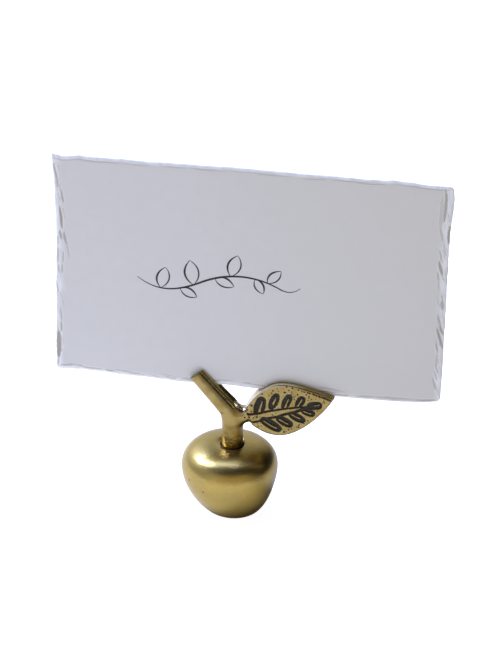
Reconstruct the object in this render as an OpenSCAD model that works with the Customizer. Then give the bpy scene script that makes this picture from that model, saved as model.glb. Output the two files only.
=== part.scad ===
// Place card holder: a small solid brass apple whose twig and leaf are one slotted casting.
// The casting's foot stands in a socket in the apple and a screw from below draws it down.
// The card drops into one saw slot that runs across the twig's tip and the leaf's top edge.
// Origin: on the table, under the axis of the stem. +Z up, the card stands in the XZ plane.

/* [Apple] */
// Diameter at the widest section
apple_d = 23.1; // [20:0.1:27]
// Height of the shoulders above the table
apple_h = 18; // [16:0.1:21]
// Height of the widest section above the table
waist_z = 12.0; // [10:0.1:13]
// Diameter of the flat that the apple is cast on
base_d = 10.4; // [10:0.1:12]
// Diameter of the ring on which the shoulders are highest
crest_d = 7.4; // [7:0.1:10]
// Depth of the hollow round the stem, below the shoulders
hollow_depth = 0.3; // [0.1:0.05:1]
// How far the widest section sits to the left of the stem
waist_offset = 0.5; // [0:0.1:1]
// How far the base sits to the right of the stem
base_offset = 0.5; // [0:0.1:1]

/* [Stem] */
// Diameter of the stem
stem_d = 5.1; // [4.6:0.1:5.6]
// How deep the stem stands in the apple
socket_depth = 9; // [7:0.5:10]
// Radial clearance of the stem in its socket
socket_clear = 0.05; // [0.02:0.01:0.1]
// Width of the open ring at the socket's mouth
mouth_gap = 0.32; // [0.1:0.02:0.5]
// Depth of the open ring at the socket's mouth
mouth_depth = 0.7; // [0.3:0.1:1.5]
// Height at which the axes of stem and twig cross
fork_z = 26.7; // [24:0.1:28]

/* [Twig] */
// Length of the twig from the fork to the centre of its cut end
twig_len = 13; // [11:0.1:15]
// Diameter of the twig where it leaves the bend, a little under the stem's
twig_root_d = 4.95; // [4.3:0.05:5]
// Diameter of the twig at its cut end
twig_tip_d = 4.25; // [3.6:0.05:4.8]
// Lean of the twig from the vertical, in degrees
twig_lean = 41; // [35:1:46]
// Radius of the bend from stem to twig, on the axis
bend_r = 6; // [4:0.5:7]
// Depth of the saw groove that runs down the twig's upper side
groove_depth = 1.5; // [0.8:0.1:2]

/* [Leaf] */
// Length of the leaf from its base to its tip
leaf_len = 21.3; // [19:0.1:24]
// Greatest width of the leaf
leaf_w = 13.7; // [12:0.1:15]
// Thickness of the leaf
leaf_t = 4.4; // [4:0.1:5]
// Rise of the leaf from the horizontal, in degrees
leaf_rise = 19.4; // [15:0.1:23]
// Distance of the leaf's base from the axis of the stem
leaf_x = 4.1; // [3.6:0.1:5]
// Height of the leaf's base
leaf_z = 26.7; // [26:0.1:28]
// Radius that rounds the rim of the leaf
leaf_rim_r = 0.9; // [0.4:0.1:1.2]
// Height of the stalk between stem and leaf
stalk_h = 4.3; // [3.6:0.1:4.6]
// Depth of the sprig engraved in the front of the leaf
engrave_depth = 0.35; // [0.1:0.05:0.6]
// Width of the two engraved ribs of the sprig
rib_w = 0.5; // [0.3:0.05:0.7]
// Width of the metal that is left standing in the middle of each leaflet
slit_w = 0.45; // [0.2:0.05:0.6]

/* [Card and slot] */
// Width of the card
card_w = 90.8; // [80:0.2:95]
// Height of the card at its corners
card_h = 56.2; // [45:0.2:60]
// Thickness of the handmade paper
card_t = 0.6; // [0.3:0.05:0.7]
// Distance of the card's middle to the right of the stem
card_x = 3.3; // [0:0.1:5]
// How far the torn lower edge bows down in the middle
card_bow = 1.6; // [0:0.1:2.5]
// Free space between the card and each wall of the slot
slot_clear = 0.4; // [0.1:0.05:0.45]
// Depth of the slot below the top of the leaf
slot_depth = 3; // [2:0.1:4]

/* [Screw and pad] */
// Thread diameter of the screw
screw_d = 3; // [2.5:0.5:3]
// Length of the screw under its head
screw_len = 10; // [8:1:11]
// Diameter of the screw's cheese head
screw_head_d = 5.5; // [4.5:0.1:6]
// Height of the screw's head
screw_head_h = 2; // [1.5:0.1:2.5]
// Width of the driver slot
driver_w = 0.8; // [0.6:0.1:1]
// Depth of the driver slot
driver_depth = 0.85; // [0.5:0.05:1]
// Clearance round the screw's shank and head
screw_clear = 0.2; // [0.1:0.05:0.3]
// Diameter of the felt pad
pad_d = 8.2; // [7.6:0.1:8.4]
// Thickness of the felt pad
pad_t = 1.1; // [0.9:0.1:1.5]
// Depth of the recess that the pad is glued into
recess_depth = 0.8; // [0.5:0.1:0.8]
// Clearance round the pad
pad_clear = 0.15; // [0.1:0.05:0.2]

/* [Hidden] */
$fn = 96;
// Overrun of every cut past the surface that it opens
over = 1;
// Free play under the card, so that it rests on the slot's floor without touching it in the drawing
seat_gap = 0.05;
// Thread clearance of the screw in its tapped hole, on the radius
thread_gap = 0.05;

// Heights of the apple's metal, which stands on the pad
metal_z = pad_t - recess_depth;
crest_z = apple_h;
mouth_z = crest_z - hollow_depth;
mouth_r = stem_d / 2 + mouth_gap;
socket_z = mouth_z - socket_depth;

// Heights of the screw: its head hides above the pad
head_seat_z = metal_z + recess_depth + screw_head_h + screw_clear;
tapped_depth = head_seat_z + screw_len - socket_z + screw_clear + thread_gap;

// A point on a cubic Bezier curve, and the points of one from p to q without q
function bezier_at(p, a, b, q, t) =
    pow(1 - t, 3) * p + 3 * t * pow(1 - t, 2) * a + 3 * t * t * (1 - t) * b + pow(t, 3) * q;
function bezier(p, a, b, q, n) = [for (i = [0 : n - 1]) bezier_at(p, a, b, q, i / n)];

// The apple's half profile as [radius, height]: base, waist, crest, hollow
waist_r = apple_d / 2;
base_r = base_d / 2;
crest_r = crest_d / 2;
base_pull_share = 0.19;
waist_drop_share = 0.41;
waist_rise_share = 0.72;
crest_pull_share = 0.17;
profile_steps = 9;
hollow_steps = 3;
apple_profile = concat(
    bezier([base_r, metal_z], [base_r + base_pull_share * waist_r, metal_z],
           [waist_r, waist_z - waist_drop_share * waist_z], [waist_r, waist_z], profile_steps),
    bezier([waist_r, waist_z], [waist_r, waist_z + waist_rise_share * (crest_z - waist_z)],
           [crest_r + crest_pull_share * waist_r, crest_z], [crest_r, crest_z], profile_steps),
    bezier([crest_r, crest_z], [(crest_r + mouth_r) / 2, crest_z],
           [mouth_r, mouth_z], [stem_d / 2, mouth_z], hollow_steps),
    [[stem_d / 2, mouth_z]]
);

// Sideways place of a section at height z: from the base's offset to the waist's, then level
function section_x(z) = (base_offset + waist_offset) * pow(max(0, 1 - z / waist_z), 1.5) - waist_offset;
apple_sides = 64;

// The rings of a loft, closed by a flat at each end
module loft(rings) {
    n = len(rings[0]);
    last = len(rings) - 1;
    points = [for (ring = rings) for (p = ring) p];
    sides = [for (k = [0 : last - 1]) for (i = [0 : n - 1]) let (j = (i + 1) % n)
        [k * n + i, (k + 1) * n + i, (k + 1) * n + j, k * n + j]];
    foot = [for (i = [0 : n - 1]) i];
    head = [for (i = [0 : n - 1]) last * n + n - 1 - i];
    polyhedron(points, concat(sides, [foot, head]), convexity = 6);
}

module apple_body() {
    rings = [for (p = apple_profile)
        [for (i = [0 : apple_sides - 1]) let (a = 360 * i / apple_sides)
            [section_x(p[1]) + p[0] * cos(a), p[0] * sin(a), p[1]]]];
    color("#a8955c") difference() {
        loft(rings);
        // Socket for the stem, with the open ring at its mouth
        translate([0, 0, socket_z]) cylinder(d = stem_d + 2 * socket_clear, h = socket_depth + over);
        translate([0, 0, mouth_z - mouth_depth]) cylinder(r = mouth_r, h = mouth_depth + over);
        // Screw hole, counterbore for the head and recess for the pad
        translate([0, 0, -over]) {
            cylinder(d = screw_d + 2 * screw_clear, h = socket_z + 2 * over);
            cylinder(d = screw_head_d + 2 * screw_clear, h = head_seat_z + over);
            cylinder(d = pad_d + 2 * pad_clear, h = metal_z + recess_depth + over);
        }
    }
}

// Twig: a bend on the stem, then a taper up to the cut end
bend_set = bend_r * tan(twig_lean / 2);
twig_straight = twig_len - bend_set;
twig_sink = bend_set / 8;

module stem_and_twig() {
    translate([0, 0, socket_z]) cylinder(d = stem_d, h = fork_z - bend_set - socket_z);
    translate([-bend_r, 0, fork_z - bend_set]) rotate([90, 0, 0])
        rotate_extrude(angle = twig_lean) translate([bend_r, 0]) circle(d = stem_d);
    translate([0, 0, fork_z]) rotate([0, -twig_lean, 0]) translate([0, 0, bend_set - twig_sink])
        cylinder(d1 = twig_root_d, d2 = twig_tip_d, h = twig_straight + twig_sink);
}

// Leaf outline in the leaf's own plane: shares of its length, and of half its width
base_share = 0.336;
upper_shares = [[0, base_share], [0.123, 0.715], [0.265, 1],
    [0.408, 1], [0.578, 1], [0.77, 0.5], [1, 0]];
lower_shares = [[0, -base_share], [0.076, -0.7], [0.185, -1],
    [0.341, -1], [0.531, -1], [0.806, -0.57], [1, 0]];
outline_steps = 9;
function in_size(p, l, w) = [p[0] * l, p[1] * w / 2];
function side_points(s, l, w) = let (v = [for (p = s) in_size(p, l, w)])
    concat(bezier(v[0], v[1], v[2], v[3], outline_steps), bezier(v[3], v[4], v[5], v[6], outline_steps));
function reversed(v) = [for (i = [len(v) - 1 : -1 : 0]) v[i]];
// The outline drawn in by d all round
function leaf_outline(d) = let (l = leaf_len - 2 * d, w = leaf_w - 2 * d,
    up = side_points(upper_shares, l, w), low = side_points(lower_shares, l, w))
    [for (p = concat(up, [[l, 0]], reversed(low))) [p[0] + d, p[1]]];
function placed(p) = [leaf_x + p[0] * cos(leaf_rise) - p[1] * sin(leaf_rise),
                      leaf_z + p[0] * sin(leaf_rise) + p[1] * cos(leaf_rise)];
leaf_top_z = max([for (p = leaf_outline(0)) placed(p)[1]]);

// Plates of growing thickness and shrinking outline round the rim between them
rim_steps = 3;
module leaf_plate() {
    hull() for (k = [0 : rim_steps]) {
        a = 90 * k / rim_steps;
        rotate([90, 0, 0]) linear_extrude(leaf_t - 2 * leaf_rim_r * (1 - sin(a)), center = true)
            polygon([for (p = leaf_outline(leaf_rim_r * (1 - cos(a)))) placed(p)]);
    }
}

// Engraved sprig. Each leaflet has a base and a tip, and a width as a share of half the leaf's width.
leaflet_shares = [
    [[0.121, 0.053], [0.256, 0.718], 0.38], [[0.269, 0.131], [0.413, 0.701], 0.3],
    [[0.411, 0.045], [0.546, 0.532], 0.285], [[0.567, 0], [0.68, 0.355], 0.27],
    [[0.681, -0.05], [0.838, -0.12], 0.3],
    [[0.607, -0.154], [0.72, -0.409], 0.196], [[0.464, -0.167], [0.592, -0.571], 0.219],
    [[0.306, -0.242], [0.435, -0.646], 0.248], [[0.123, -0.189], [0.291, -0.745], 0.285]];
// Each rib is a curve between the two rows of leaflets: its ends and their handles
rib_shares = [
    [[0.01, 0.136], [0.25, 0.1], [0.48, 0.02], [0.69, -0.08]],
    [[0.145, -0.174], [0.31, -0.23], [0.5, -0.18], [0.69, -0.095]]];
slit_end_share = 0.14;
leaflet_steps = 7;
rib_steps = 8;

// An almond from p to q, w wide in its middle, where a cubic reaches three quarters of its handles
function almond(p, q, w) = let (way = q - p, out = [-way[1], way[0]] / norm(way) * w * 2 / 3)
    concat(bezier(p, p + way / 4 + out, q - way / 3 + out, q, leaflet_steps),
           bezier(q, q - way / 3 - out, p + way / 4 - out, p, leaflet_steps));
function rib(s) = let (v = [for (p = s) in_size(p, leaf_len, leaf_w)],
    path = concat(bezier(v[0], v[1], v[2], v[3], rib_steps), [v[3]]))
    concat([for (p = path) p + [0, rib_w / 2]], reversed([for (p = path) p - [0, rib_w / 2]]));

// The space inside an outline from below the leaf's front face to outside it
module face_tool(outline, depth, out) {
    translate([0, depth - leaf_t / 2, 0]) rotate([90, 0, 0]) linear_extrude(depth + out)
        polygon([for (p = outline) placed(p)]);
}

module engraved_sprig() {
    for (s = leaflet_shares) {
        p = in_size(s[0], leaf_len, leaf_w);
        q = in_size(s[1], leaf_len, leaf_w);
        inset = (q - p) * slit_end_share;
        difference() {
            face_tool(almond(p, q, s[2] * leaf_w / 2), engrave_depth, over);
            face_tool(almond(p + inset, q - inset, slit_w), engrave_depth + over, 2 * over);
        }
    }
    for (s = rib_shares) face_tool(rib(s), engrave_depth, over);
}

// Stalk: a web that flows from a short length of the stem into the base of the leaf
stalk_root_share = 0.7;
stalk_sink_share = 0.94;
module stalk() {
    root_z = leaf_z - leaf_x * tan(leaf_rise);
    root_h = stalk_root_share * stalk_h;
    hull() {
        translate([0, 0, root_z - root_h / 2]) cylinder(d = stalk_sink_share * stem_d, h = root_h, $fn = 32);
        translate([leaf_x, 0, leaf_z]) rotate([0, 90 - leaf_rise, 0]) linear_extrude(stalk_h / 2)
            scale([1, stalk_sink_share * leaf_t / stalk_h]) circle(d = stalk_h, $fn = 32);
    }
}

// Card outline: heights above the lowest point of the lower edge, as shares of the bow
slot_w = card_t + 2 * slot_clear;
slot_z = leaf_top_z - slot_depth;
card_low_z = slot_z + seat_gap;
bottom_shares = [[-0.5, 1], [-0.4, 0.9], [-0.31, 0.64], [-0.25, 0.62], [-0.19, 0.38], [-0.1, 0.32],
    [0.02, 0.28], [0.12, 0.12], [0.22, 0.02], [0.36, 0], [0.43, 0.22], [0.5, 0.7]];
function card_edge_z(x) = card_low_z + card_bow * lookup((x - card_x) / card_w, bottom_shares);

// The slot's floor lies under the card's lower edge: level in the leaf, and level across the twig's tip
twig_slot_x = -(twig_len * sin(twig_lean) + twig_tip_d / 2 * cos(twig_lean));
twig_slot_z = min(card_edge_z(twig_slot_x), card_edge_z(0)) - seat_gap;
// From there the saw runs on down the twig's upper side to the fork
groove_offset = stem_d / 2 - groove_depth;
function groove_x(z) = (groove_offset - (z - fork_z) * sin(twig_lean)) / cos(twig_lean);
groove_end_z = fork_z + stalk_h / 2;
top_z = fork_z + twig_len + stem_d;

module card_slot() {
    rotate([90, 0, 0]) linear_extrude(slot_w, center = true) {
        polygon([[twig_slot_x - over, twig_slot_z], [groove_x(twig_slot_z), twig_slot_z],
            [groove_x(groove_end_z), groove_end_z], [leaf_x / 2, groove_end_z + stalk_h / 4],
            [leaf_x / 2, top_z], [twig_slot_x - over, top_z]]);
        polygon([[leaf_x / 2, slot_z], [leaf_x + leaf_len + over, slot_z],
            [leaf_x + leaf_len + over, top_z], [leaf_x / 2, top_z]]);
    }
}

module branch_leaf() {
    color("#a5905a") difference() {
        union() {
            stem_and_twig();
            stalk();
            leaf_plate();
        }
        card_slot();
        engraved_sprig();
        // Tapped hole for the screw
        translate([0, 0, socket_z - over])
            cylinder(d = screw_d + 2 * thread_gap, h = tapped_depth + over);
    }
}

module fixing_screw() {
    color("#b8b4a4") difference() {
        translate([0, 0, head_seat_z - screw_head_h]) {
            cylinder(d = screw_head_d, h = screw_head_h);
            cylinder(d = screw_d, h = screw_head_h + screw_len);
        }
        translate([-screw_head_d / 2 - over, -driver_w / 2, head_seat_z - screw_head_h - over])
            cube([screw_head_d + 2 * over, driver_w, driver_depth + over]);
    }
}

module base_pad() {
    color("#2f3a30") cylinder(d = pad_d, h = pad_t);
}

// Torn card: the lower edge bows, the sides and the top are straight
module name_card() {
    low = [for (s = bottom_shares) [card_x + s[0] * card_w, card_low_z + s[1] * card_bow]];
    top_edge_z = card_low_z + card_bow + card_h;
    high = [for (side = [1, -1]) [card_x + side * card_w / 2, top_edge_z]];
    color("#d9d8e0") rotate([90, 0, 0]) linear_extrude(card_t, center = true) polygon(concat(low, high));
}

apple_body();
branch_leaf();
fixing_screw();
base_pad();
name_card();
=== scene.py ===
# %% [markdown]
# An apple place card holder, dressed in Blender. The brass apple is small enough to close a
# hand over. Out of its top stands one casting, a twig and a leaf, and a saw slot across both
# holds a card of handmade paper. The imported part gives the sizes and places. This lesson
# gives it polished and satin metal, an engraved and blackened sprig, and torn paper edges.

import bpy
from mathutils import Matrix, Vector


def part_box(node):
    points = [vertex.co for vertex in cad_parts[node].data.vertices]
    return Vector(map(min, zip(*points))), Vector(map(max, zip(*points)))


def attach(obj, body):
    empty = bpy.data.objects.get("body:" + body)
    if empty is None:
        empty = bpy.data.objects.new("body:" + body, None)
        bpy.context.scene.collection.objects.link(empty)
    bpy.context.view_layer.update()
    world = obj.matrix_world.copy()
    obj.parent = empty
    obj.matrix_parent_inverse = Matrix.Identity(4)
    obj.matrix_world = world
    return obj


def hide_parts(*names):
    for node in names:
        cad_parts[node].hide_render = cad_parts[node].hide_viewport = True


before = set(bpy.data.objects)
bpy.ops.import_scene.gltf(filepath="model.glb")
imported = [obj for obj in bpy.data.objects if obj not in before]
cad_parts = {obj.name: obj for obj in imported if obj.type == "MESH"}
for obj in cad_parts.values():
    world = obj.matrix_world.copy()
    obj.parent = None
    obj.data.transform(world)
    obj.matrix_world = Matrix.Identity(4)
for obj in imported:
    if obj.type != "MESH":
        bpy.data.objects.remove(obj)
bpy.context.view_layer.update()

# %% [markdown]
# Every shape below is thought out in millimetres, because that is how a brass founder would
# measure it, and turned into Blender's metres only when its mesh is made. numpy moves whole
# lists of points at once, which is what makes fine meshes quick enough to build in a script.

# %% Tools and units
from itertools import product
from math import cos, pi, radians, sin, tan

import bpy
import numpy as np
from mathutils import Matrix, Vector

MM = 0.001


def box_mm(node):
    """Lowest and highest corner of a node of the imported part, in millimetres."""
    low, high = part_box(node)
    return np.array(low) / MM, np.array(high) / MM


apple_low, apple_high = box_mm("apple_body")
cast_low, cast_high = box_mm("branch_leaf")
card_low, card_high = box_mm("name_card")
print("apple", (apple_high - apple_low).round(2), "casting", (cast_high - cast_low).round(2))

# %% [markdown]
# The camera comes first, so that every look at the work is the same look. It stands a little to
# the right, thirty degrees up, with a long lens, as for a catalogue picture of something small.
# Its place is worked out from two angles, a distance and the point that it looks at, because
# those are the numbers that someone with a real camera could set.

# %% Camera
VIEW_TURN = radians(7.206)
VIEW_RISE = radians(30.286)
VIEW_ROLL = radians(1.165)
VIEW_DISTANCE = 666.65 * MM
VIEW_TARGET = Vector((3.72, 0, 48.38)) * MM
SENSOR = 36.0
LONG_SIDE_PX = 667
FOCAL_PX = 2868.4

back = Vector((sin(VIEW_TURN) * cos(VIEW_RISE), -cos(VIEW_TURN) * cos(VIEW_RISE), sin(VIEW_RISE)))
right = Vector((cos(VIEW_TURN), sin(VIEW_TURN), 0))
up = back.cross(right)
rolled_right = cos(VIEW_ROLL) * right + sin(VIEW_ROLL) * up
rolled_up = cos(VIEW_ROLL) * up - sin(VIEW_ROLL) * right
camera = bpy.data.objects.new("camera", bpy.data.cameras.new("camera"))
bpy.context.scene.collection.objects.link(camera)
turn = Matrix((rolled_right, rolled_up, back)).transposed().to_4x4()
camera.matrix_world = Matrix.Translation(VIEW_TARGET + back * VIEW_DISTANCE) @ turn
camera.data.sensor_width = SENSOR
camera.data.lens = SENSOR * FOCAL_PX / LONG_SIDE_PX
bpy.context.scene.camera = camera
bpy.context.scene.view_settings.view_transform = "Standard"
camera_at = tuple(round(v, 3) for v in camera.location)
print("lens", round(camera.data.lens, 1), "mm, camera at", camera_at)

# %% [markdown]
# Three small helpers make every mesh. One lays points on a Bezier curve. One gives lumpy random
# values, the same on every run, for the unevenness that a hand-finished thing always has. One
# turns arrays of points and faces into a smooth object that rides on a body of the part.

# %% Curves, unevenness and pieces
def bezier(p, a, b, q, steps):
    """Points of a cubic curve from p to q, both ends included."""
    t = np.linspace(0, 1, steps)[:, None]
    p, a, b, q = (np.array(v, float) for v in (p, a, b, q))
    return (1 - t) ** 3 * p + 3 * t * (1 - t) ** 2 * a + 3 * t * t * (1 - t) * b + t**3 * q


LATTICE = 32


def lumps(points, size, seed):
    """Smooth random values from -1 to 1 at each point, in lumps of about that size."""
    lattice = np.random.default_rng(seed).uniform(-1, 1, (LATTICE,) * 3)
    scaled = np.asarray(points, float) / size
    cell = np.floor(scaled).astype(int)
    part = scaled - cell
    part = part * part * (3 - 2 * part)
    total = np.zeros(len(scaled))
    for corner in product((0, 1), repeat=3):
        weight = np.prod(np.where(corner, part, 1 - part), axis=1)
        i, j, k = ((cell + corner) % LATTICE).T
        total += weight * lattice[i, j, k]
    return total


def smooth_step(low, high, value):
    """0 below low, 1 above high, and an even slope between them."""
    t = np.clip((value - low) / (high - low), 0, 1)
    return t * t * (3 - 2 * t)


def make_piece(name, points_mm, faces, body, sharp=None, marks=None):
    """A smooth mesh from points in millimetres, riding on a body. marks are values per point."""
    mesh = bpy.data.meshes.new(name)
    mesh.from_pydata(np.asarray(points_mm) * MM, [], faces)
    mesh.validate()
    mesh.polygons.foreach_set("use_smooth", np.ones(len(mesh.polygons), bool))
    if sharp is not None:
        mesh.set_sharp_from_angle(angle=radians(sharp))
    for mark, values in (marks or {}).items():
        layer = mesh.attributes.new(mark, "FLOAT", "POINT")
        layer.data.foreach_set("value", np.asarray(values, np.float32))
    piece = bpy.data.objects.new(name, mesh)
    bpy.context.scene.collection.objects.link(piece)
    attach(piece, body)
    print(name, "has", len(mesh.vertices), "points and", len(mesh.polygons), "faces")
    return piece


# %% [markdown]
# A finish is a small sum of sockets, so it reads best written as one. Wire wraps a socket and
# adds Math nodes when it is added, multiplied or taken from a number. Colours and vectors must
# not pass through a Math node, which would turn them grey, so they have methods of their own.

# %% Sockets as sums
class Wire:
    """A node's output that can be used in a sum."""

    def __init__(self, finish, socket):
        self.finish, self.socket = finish, socket

    def math(self, operation, *values):
        """A Math node on these values, which are wires or numbers."""
        inputs = dict(enumerate(values))
        return self.finish.add("ShaderNodeMath", "Value", {"operation": operation}, inputs)

    def __add__(self, other):
        return self.math("ADD", self, other)

    def __sub__(self, other):
        return self.math("SUBTRACT", self, other)

    def __rsub__(self, other):
        return self.math("SUBTRACT", other, self)

    def __mul__(self, other):
        return self.math("MULTIPLY", self, other)

    __radd__ = __add__
    __rmul__ = __mul__

    def step(self, low, high):
        """0 below low and 1 above high, or the other way round."""
        settings = {"interpolation_type": "SMOOTHSTEP"}
        inputs = {"Value": self, "From Min": low, "From Max": high}
        return self.finish.add("ShaderNodeMapRange", "Result", settings, inputs)

    def vector(self, operation, other=None, scale=None):
        """Vector Math on this socket, with another vector or a number to scale by."""
        inputs = {0: self}
        if other is not None:
            inputs[1] = other
        if scale is not None:
            inputs["Scale"] = scale
        output = "Value" if operation in ("LENGTH", "DISTANCE", "DOT_PRODUCT") else "Vector"
        return self.finish.add("ShaderNodeVectorMath", output, {"operation": operation}, inputs)

    def part(self, axis):
        """One of a vector's three numbers: X, Y or Z."""
        return self.finish.add("ShaderNodeSeparateXYZ", axis, inputs={0: self})


# %% [markdown]
# Finish holds one material. Its add method makes any node from its type, settings and inputs,
# and the others are the few that every finish needs: a mix of colours, noise, a mark that the
# mesh carries, and relief. All sizes are in millimetres, on the piece itself.

# %% Finish
class Finish:
    """One material, with a Principled shader and the place on the piece in millimetres."""

    def __init__(self, name):
        self.material = bpy.data.materials.new(name)
        self.material.use_nodes = True
        self.nodes = self.material.node_tree.nodes
        self.links = self.material.node_tree.links
        self.shader = next(n for n in self.nodes if n.type == "BSDF_PRINCIPLED")
        self.place = self.add("ShaderNodeTexCoord", "Object").vector("SCALE", scale=1 / MM)

    def set(self, socket, value):
        """Links a wire to a socket, or stores a plain value on it."""
        if isinstance(value, Wire):
            self.links.new(value.socket, socket)
        elif isinstance(value, (int, float)):
            socket.default_value = value
        else:
            parts = list(value)
            socket.default_value = parts + [1.0] * (len(socket.default_value) - len(parts))

    def add(self, kind, output, settings=None, inputs=None):
        """A node of any kind: its settings first, then the values or links of its inputs."""
        node = self.nodes.new(kind)
        for key, value in (settings or {}).items():
            setattr(node, key, value)
        for key, value in (inputs or {}).items():
            self.set(node.inputs[key], value)
        return Wire(self, node.outputs[output])

    def mix(self, factor, first, second):
        """A colour between two colours."""
        # A Mix node has sockets for every kind of value: its colours are 6 and 7, and 2 comes out
        inputs = {0: factor, 6: first, 7: second}
        return self.add("ShaderNodeMix", 2, {"data_type": "RGBA"}, inputs)

    def grain(self, size, detail=2.0, stretch=None, roughness=0.5):
        """Noise from 0 to 1 with lumps of that size in millimetres, drawn out by stretch."""
        place = self.place
        if stretch:
            place = place.vector("MULTIPLY", [1 / s for s in stretch])
        inputs = {"Vector": place, "Scale": 1 / size, "Detail": detail, "Roughness": roughness}
        return self.add("ShaderNodeTexNoise", "Fac", inputs=inputs)

    def mark(self, name):
        """The values that a piece carries on its points under that name."""
        return self.add("ShaderNodeAttribute", "Fac", {"attribute_name": name})

    def bump(self, height, depth_mm):
        """A normal for relief whose height runs from 0 to 1 over that depth."""
        inputs = {"Height": height, "Distance": depth_mm * MM, "Strength": 1.0}
        return self.add("ShaderNodeBump", "Normal", inputs=inputs)

    def give(self, **values):
        """Sets the shader's sockets, named with _ for each space."""
        for key, value in values.items():
            self.set(self.shader.inputs[key.replace("_", " ")], value)
        print(self.material.name, "uses", len(self.nodes), "nodes")


# %% [markdown]
# The apple is cast brass that has been tumbled and rubbed to a satin. A mirror would show the
# room, and satin brass shows only its light and dark, so roughness does most of the work. The
# colour drifts between a yellow and an olive gold, and very fine grain in the bump breaks up
# the edge of every reflection, as the rubbed surface does.

# %% Satin brass
BRASS_YELLOW = (0.48, 0.345, 0.095)
BRASS_OLIVE = (0.43, 0.325, 0.1)
BRASS_DEEP = (0.3, 0.21, 0.05)
PATINA = (0.018, 0.014, 0.008)
GRAIN_DEPTH = 0.035
RING_OUTSIDE, RING_INSIDE = 2.98, 2.84
LONG_PIT_AT = (-9.18, -7.56, 11.24)
SMALL_PIT_AT = (-5.4, -10.19, 9.92)

satin = Finish("satin_brass")
drift = satin.grain(6.0, detail=3.0)
rubbed = satin.grain(0.48, detail=3.0, stretch=(1.6, 1.6, 1.0), roughness=0.75)
brushed = satin.grain(0.42, detail=2.0, stretch=(9.0, 9.0, 1.0), roughness=0.6) * 0.6
gold = satin.mix(drift.step(0.35, 0.7), BRASS_YELLOW, BRASS_OLIVE)
gold = satin.mix((rubbed + brushed).step(0.65, 0.95) * 0.16, gold, BRASS_DEEP)
# The ring where the stem goes in holds old polish and dirt,
# and it is also painted dark as shade in the gap round the stem
from_stem = satin.place.vector("MULTIPLY", (1, 1, 0)).vector("LENGTH")
ring = from_stem.step(RING_OUTSIDE, RING_INSIDE)
# Two casting pits on the left of the belly
long_pit = satin.place.vector("DISTANCE", LONG_PIT_AT).step(0.36, 0.16)
small_pit = satin.place.vector("DISTANCE", SMALL_PIT_AT).step(0.3, 0.12)
black = satin.grain(0.25).step(0.3, 0.55) * long_pit + small_pit + ring
satin.give(
    Metallic=1.0 - black * 0.9,
    Base_Color=satin.mix(black, gold, PATINA),
    Roughness=0.235 + drift * 0.05 + rubbed * 0.09 + ring * 0.3,
    Normal=satin.bump(rubbed + brushed, GRAIN_DEPTH),
)

# %% [markdown]
# The apple's skin is a loft: a stack of rings, each with a radius, a height and a middle. Spinning
# one profile would be simpler, but the real apple leans, so its widest ring sits left of the
# stem and its foot right of it. The rings go up the outside, over the shoulder, and down into
# the socket, so that the metal has its true thickness round every hole.

# %% Apple
PROFILE_STEPS = 44
APPLE_SIDES = 224
stem_r = 2.55
waist_offset = 0.5
base_offset = 0.8
offset_curve = 2.4
waist_z = 12.0
base_r = 5.45
crest_r = 3.7
hollow = 0.3
waist_r = (apple_high[0] - apple_low[0]) / 2
metal_z, crest_z = apple_low[2], apple_high[2]
mouth_z = crest_z - hollow
mouth_r = stem_r + 0.32
# How far the curves bulge, as shares of the waist's radius or of a height
foot_bulge, flank_bulge = 0.19, 0.59
shoulder_rise, shoulder_reach = 0.76, 0.26
# The hole for the stem, wider at its mouth, then those for the screw, its head and the pad
mouth_bore_r = mouth_r - 0.06
mouth_bore_z = mouth_z - 0.7
stem_bore_r = stem_r + 0.05
socket_z = cast_low[2]
bore_r = 1.7
head_bore_r = 2.95
head_seat_z = 3.3
pad_bore_r = 4.25
recess_z = 1.1


def section_x(z):
    """Where the middle of the apple's section lies at a height."""
    share = np.maximum(0, 1 - z / waist_z) ** offset_curve
    return (base_offset + waist_offset) * share - waist_offset


def loft(rings, sides, closed):
    """Points and faces over rings given as rows of middle x, radius and height."""
    angle = np.linspace(0, 2 * pi, sides, endpoint=False)
    middle, radius, height = (np.array(rings).T)[:, :, None]
    points = np.stack(np.broadcast_arrays(
        middle + radius * np.cos(angle), radius * np.sin(angle), height), axis=-1)
    count = len(rings)
    faces = []
    for ring in range(count if closed else count - 1):
        above = (ring + 1) % count
        for side in range(sides):
            after = (side + 1) % sides
            faces.append((ring * sides + side, ring * sides + after,
                          above * sides + after, above * sides + side))
    return points.reshape(-1, 3), faces


flank = bezier((base_r, metal_z), (base_r + foot_bulge * waist_r, metal_z),
               (waist_r, flank_bulge * waist_z), (waist_r, waist_z), PROFILE_STEPS)
shoulder = bezier((waist_r, waist_z), (waist_r, waist_z + shoulder_rise * (crest_z - waist_z)),
                  (crest_r + shoulder_reach * waist_r, crest_z), (crest_r, crest_z),
                  PROFILE_STEPS)[1:]
dip = bezier((crest_r, crest_z), ((crest_r + mouth_r) / 2, crest_z),
             (mouth_r + 0.3, mouth_z + 0.02), (mouth_r, mouth_z - 0.02), 10)[1:]
profile = np.vstack([flank, shoulder, dip])
settle = smooth_step(crest_r, mouth_r, profile[:, 0]) * (profile[:, 1] > waist_z)
skin = np.column_stack([section_x(profile[:, 1]) * (1 - settle), profile])
inside = [(0, mouth_bore_r, mouth_z - 0.1), (0, mouth_bore_r, mouth_bore_z),
          (0, stem_bore_r, mouth_bore_z), (0, stem_bore_r, socket_z), (0, bore_r, socket_z),
          (0, bore_r, head_seat_z), (0, head_bore_r, head_seat_z), (0, head_bore_r, recess_z),
          (0, pad_bore_r, recess_z), (0, pad_bore_r, metal_z)]
points, faces = loft(np.vstack([skin, inside]), APPLE_SIDES, closed=True)
print("apple has", len(skin), "rings outside and", len(inside), "inside")

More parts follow.
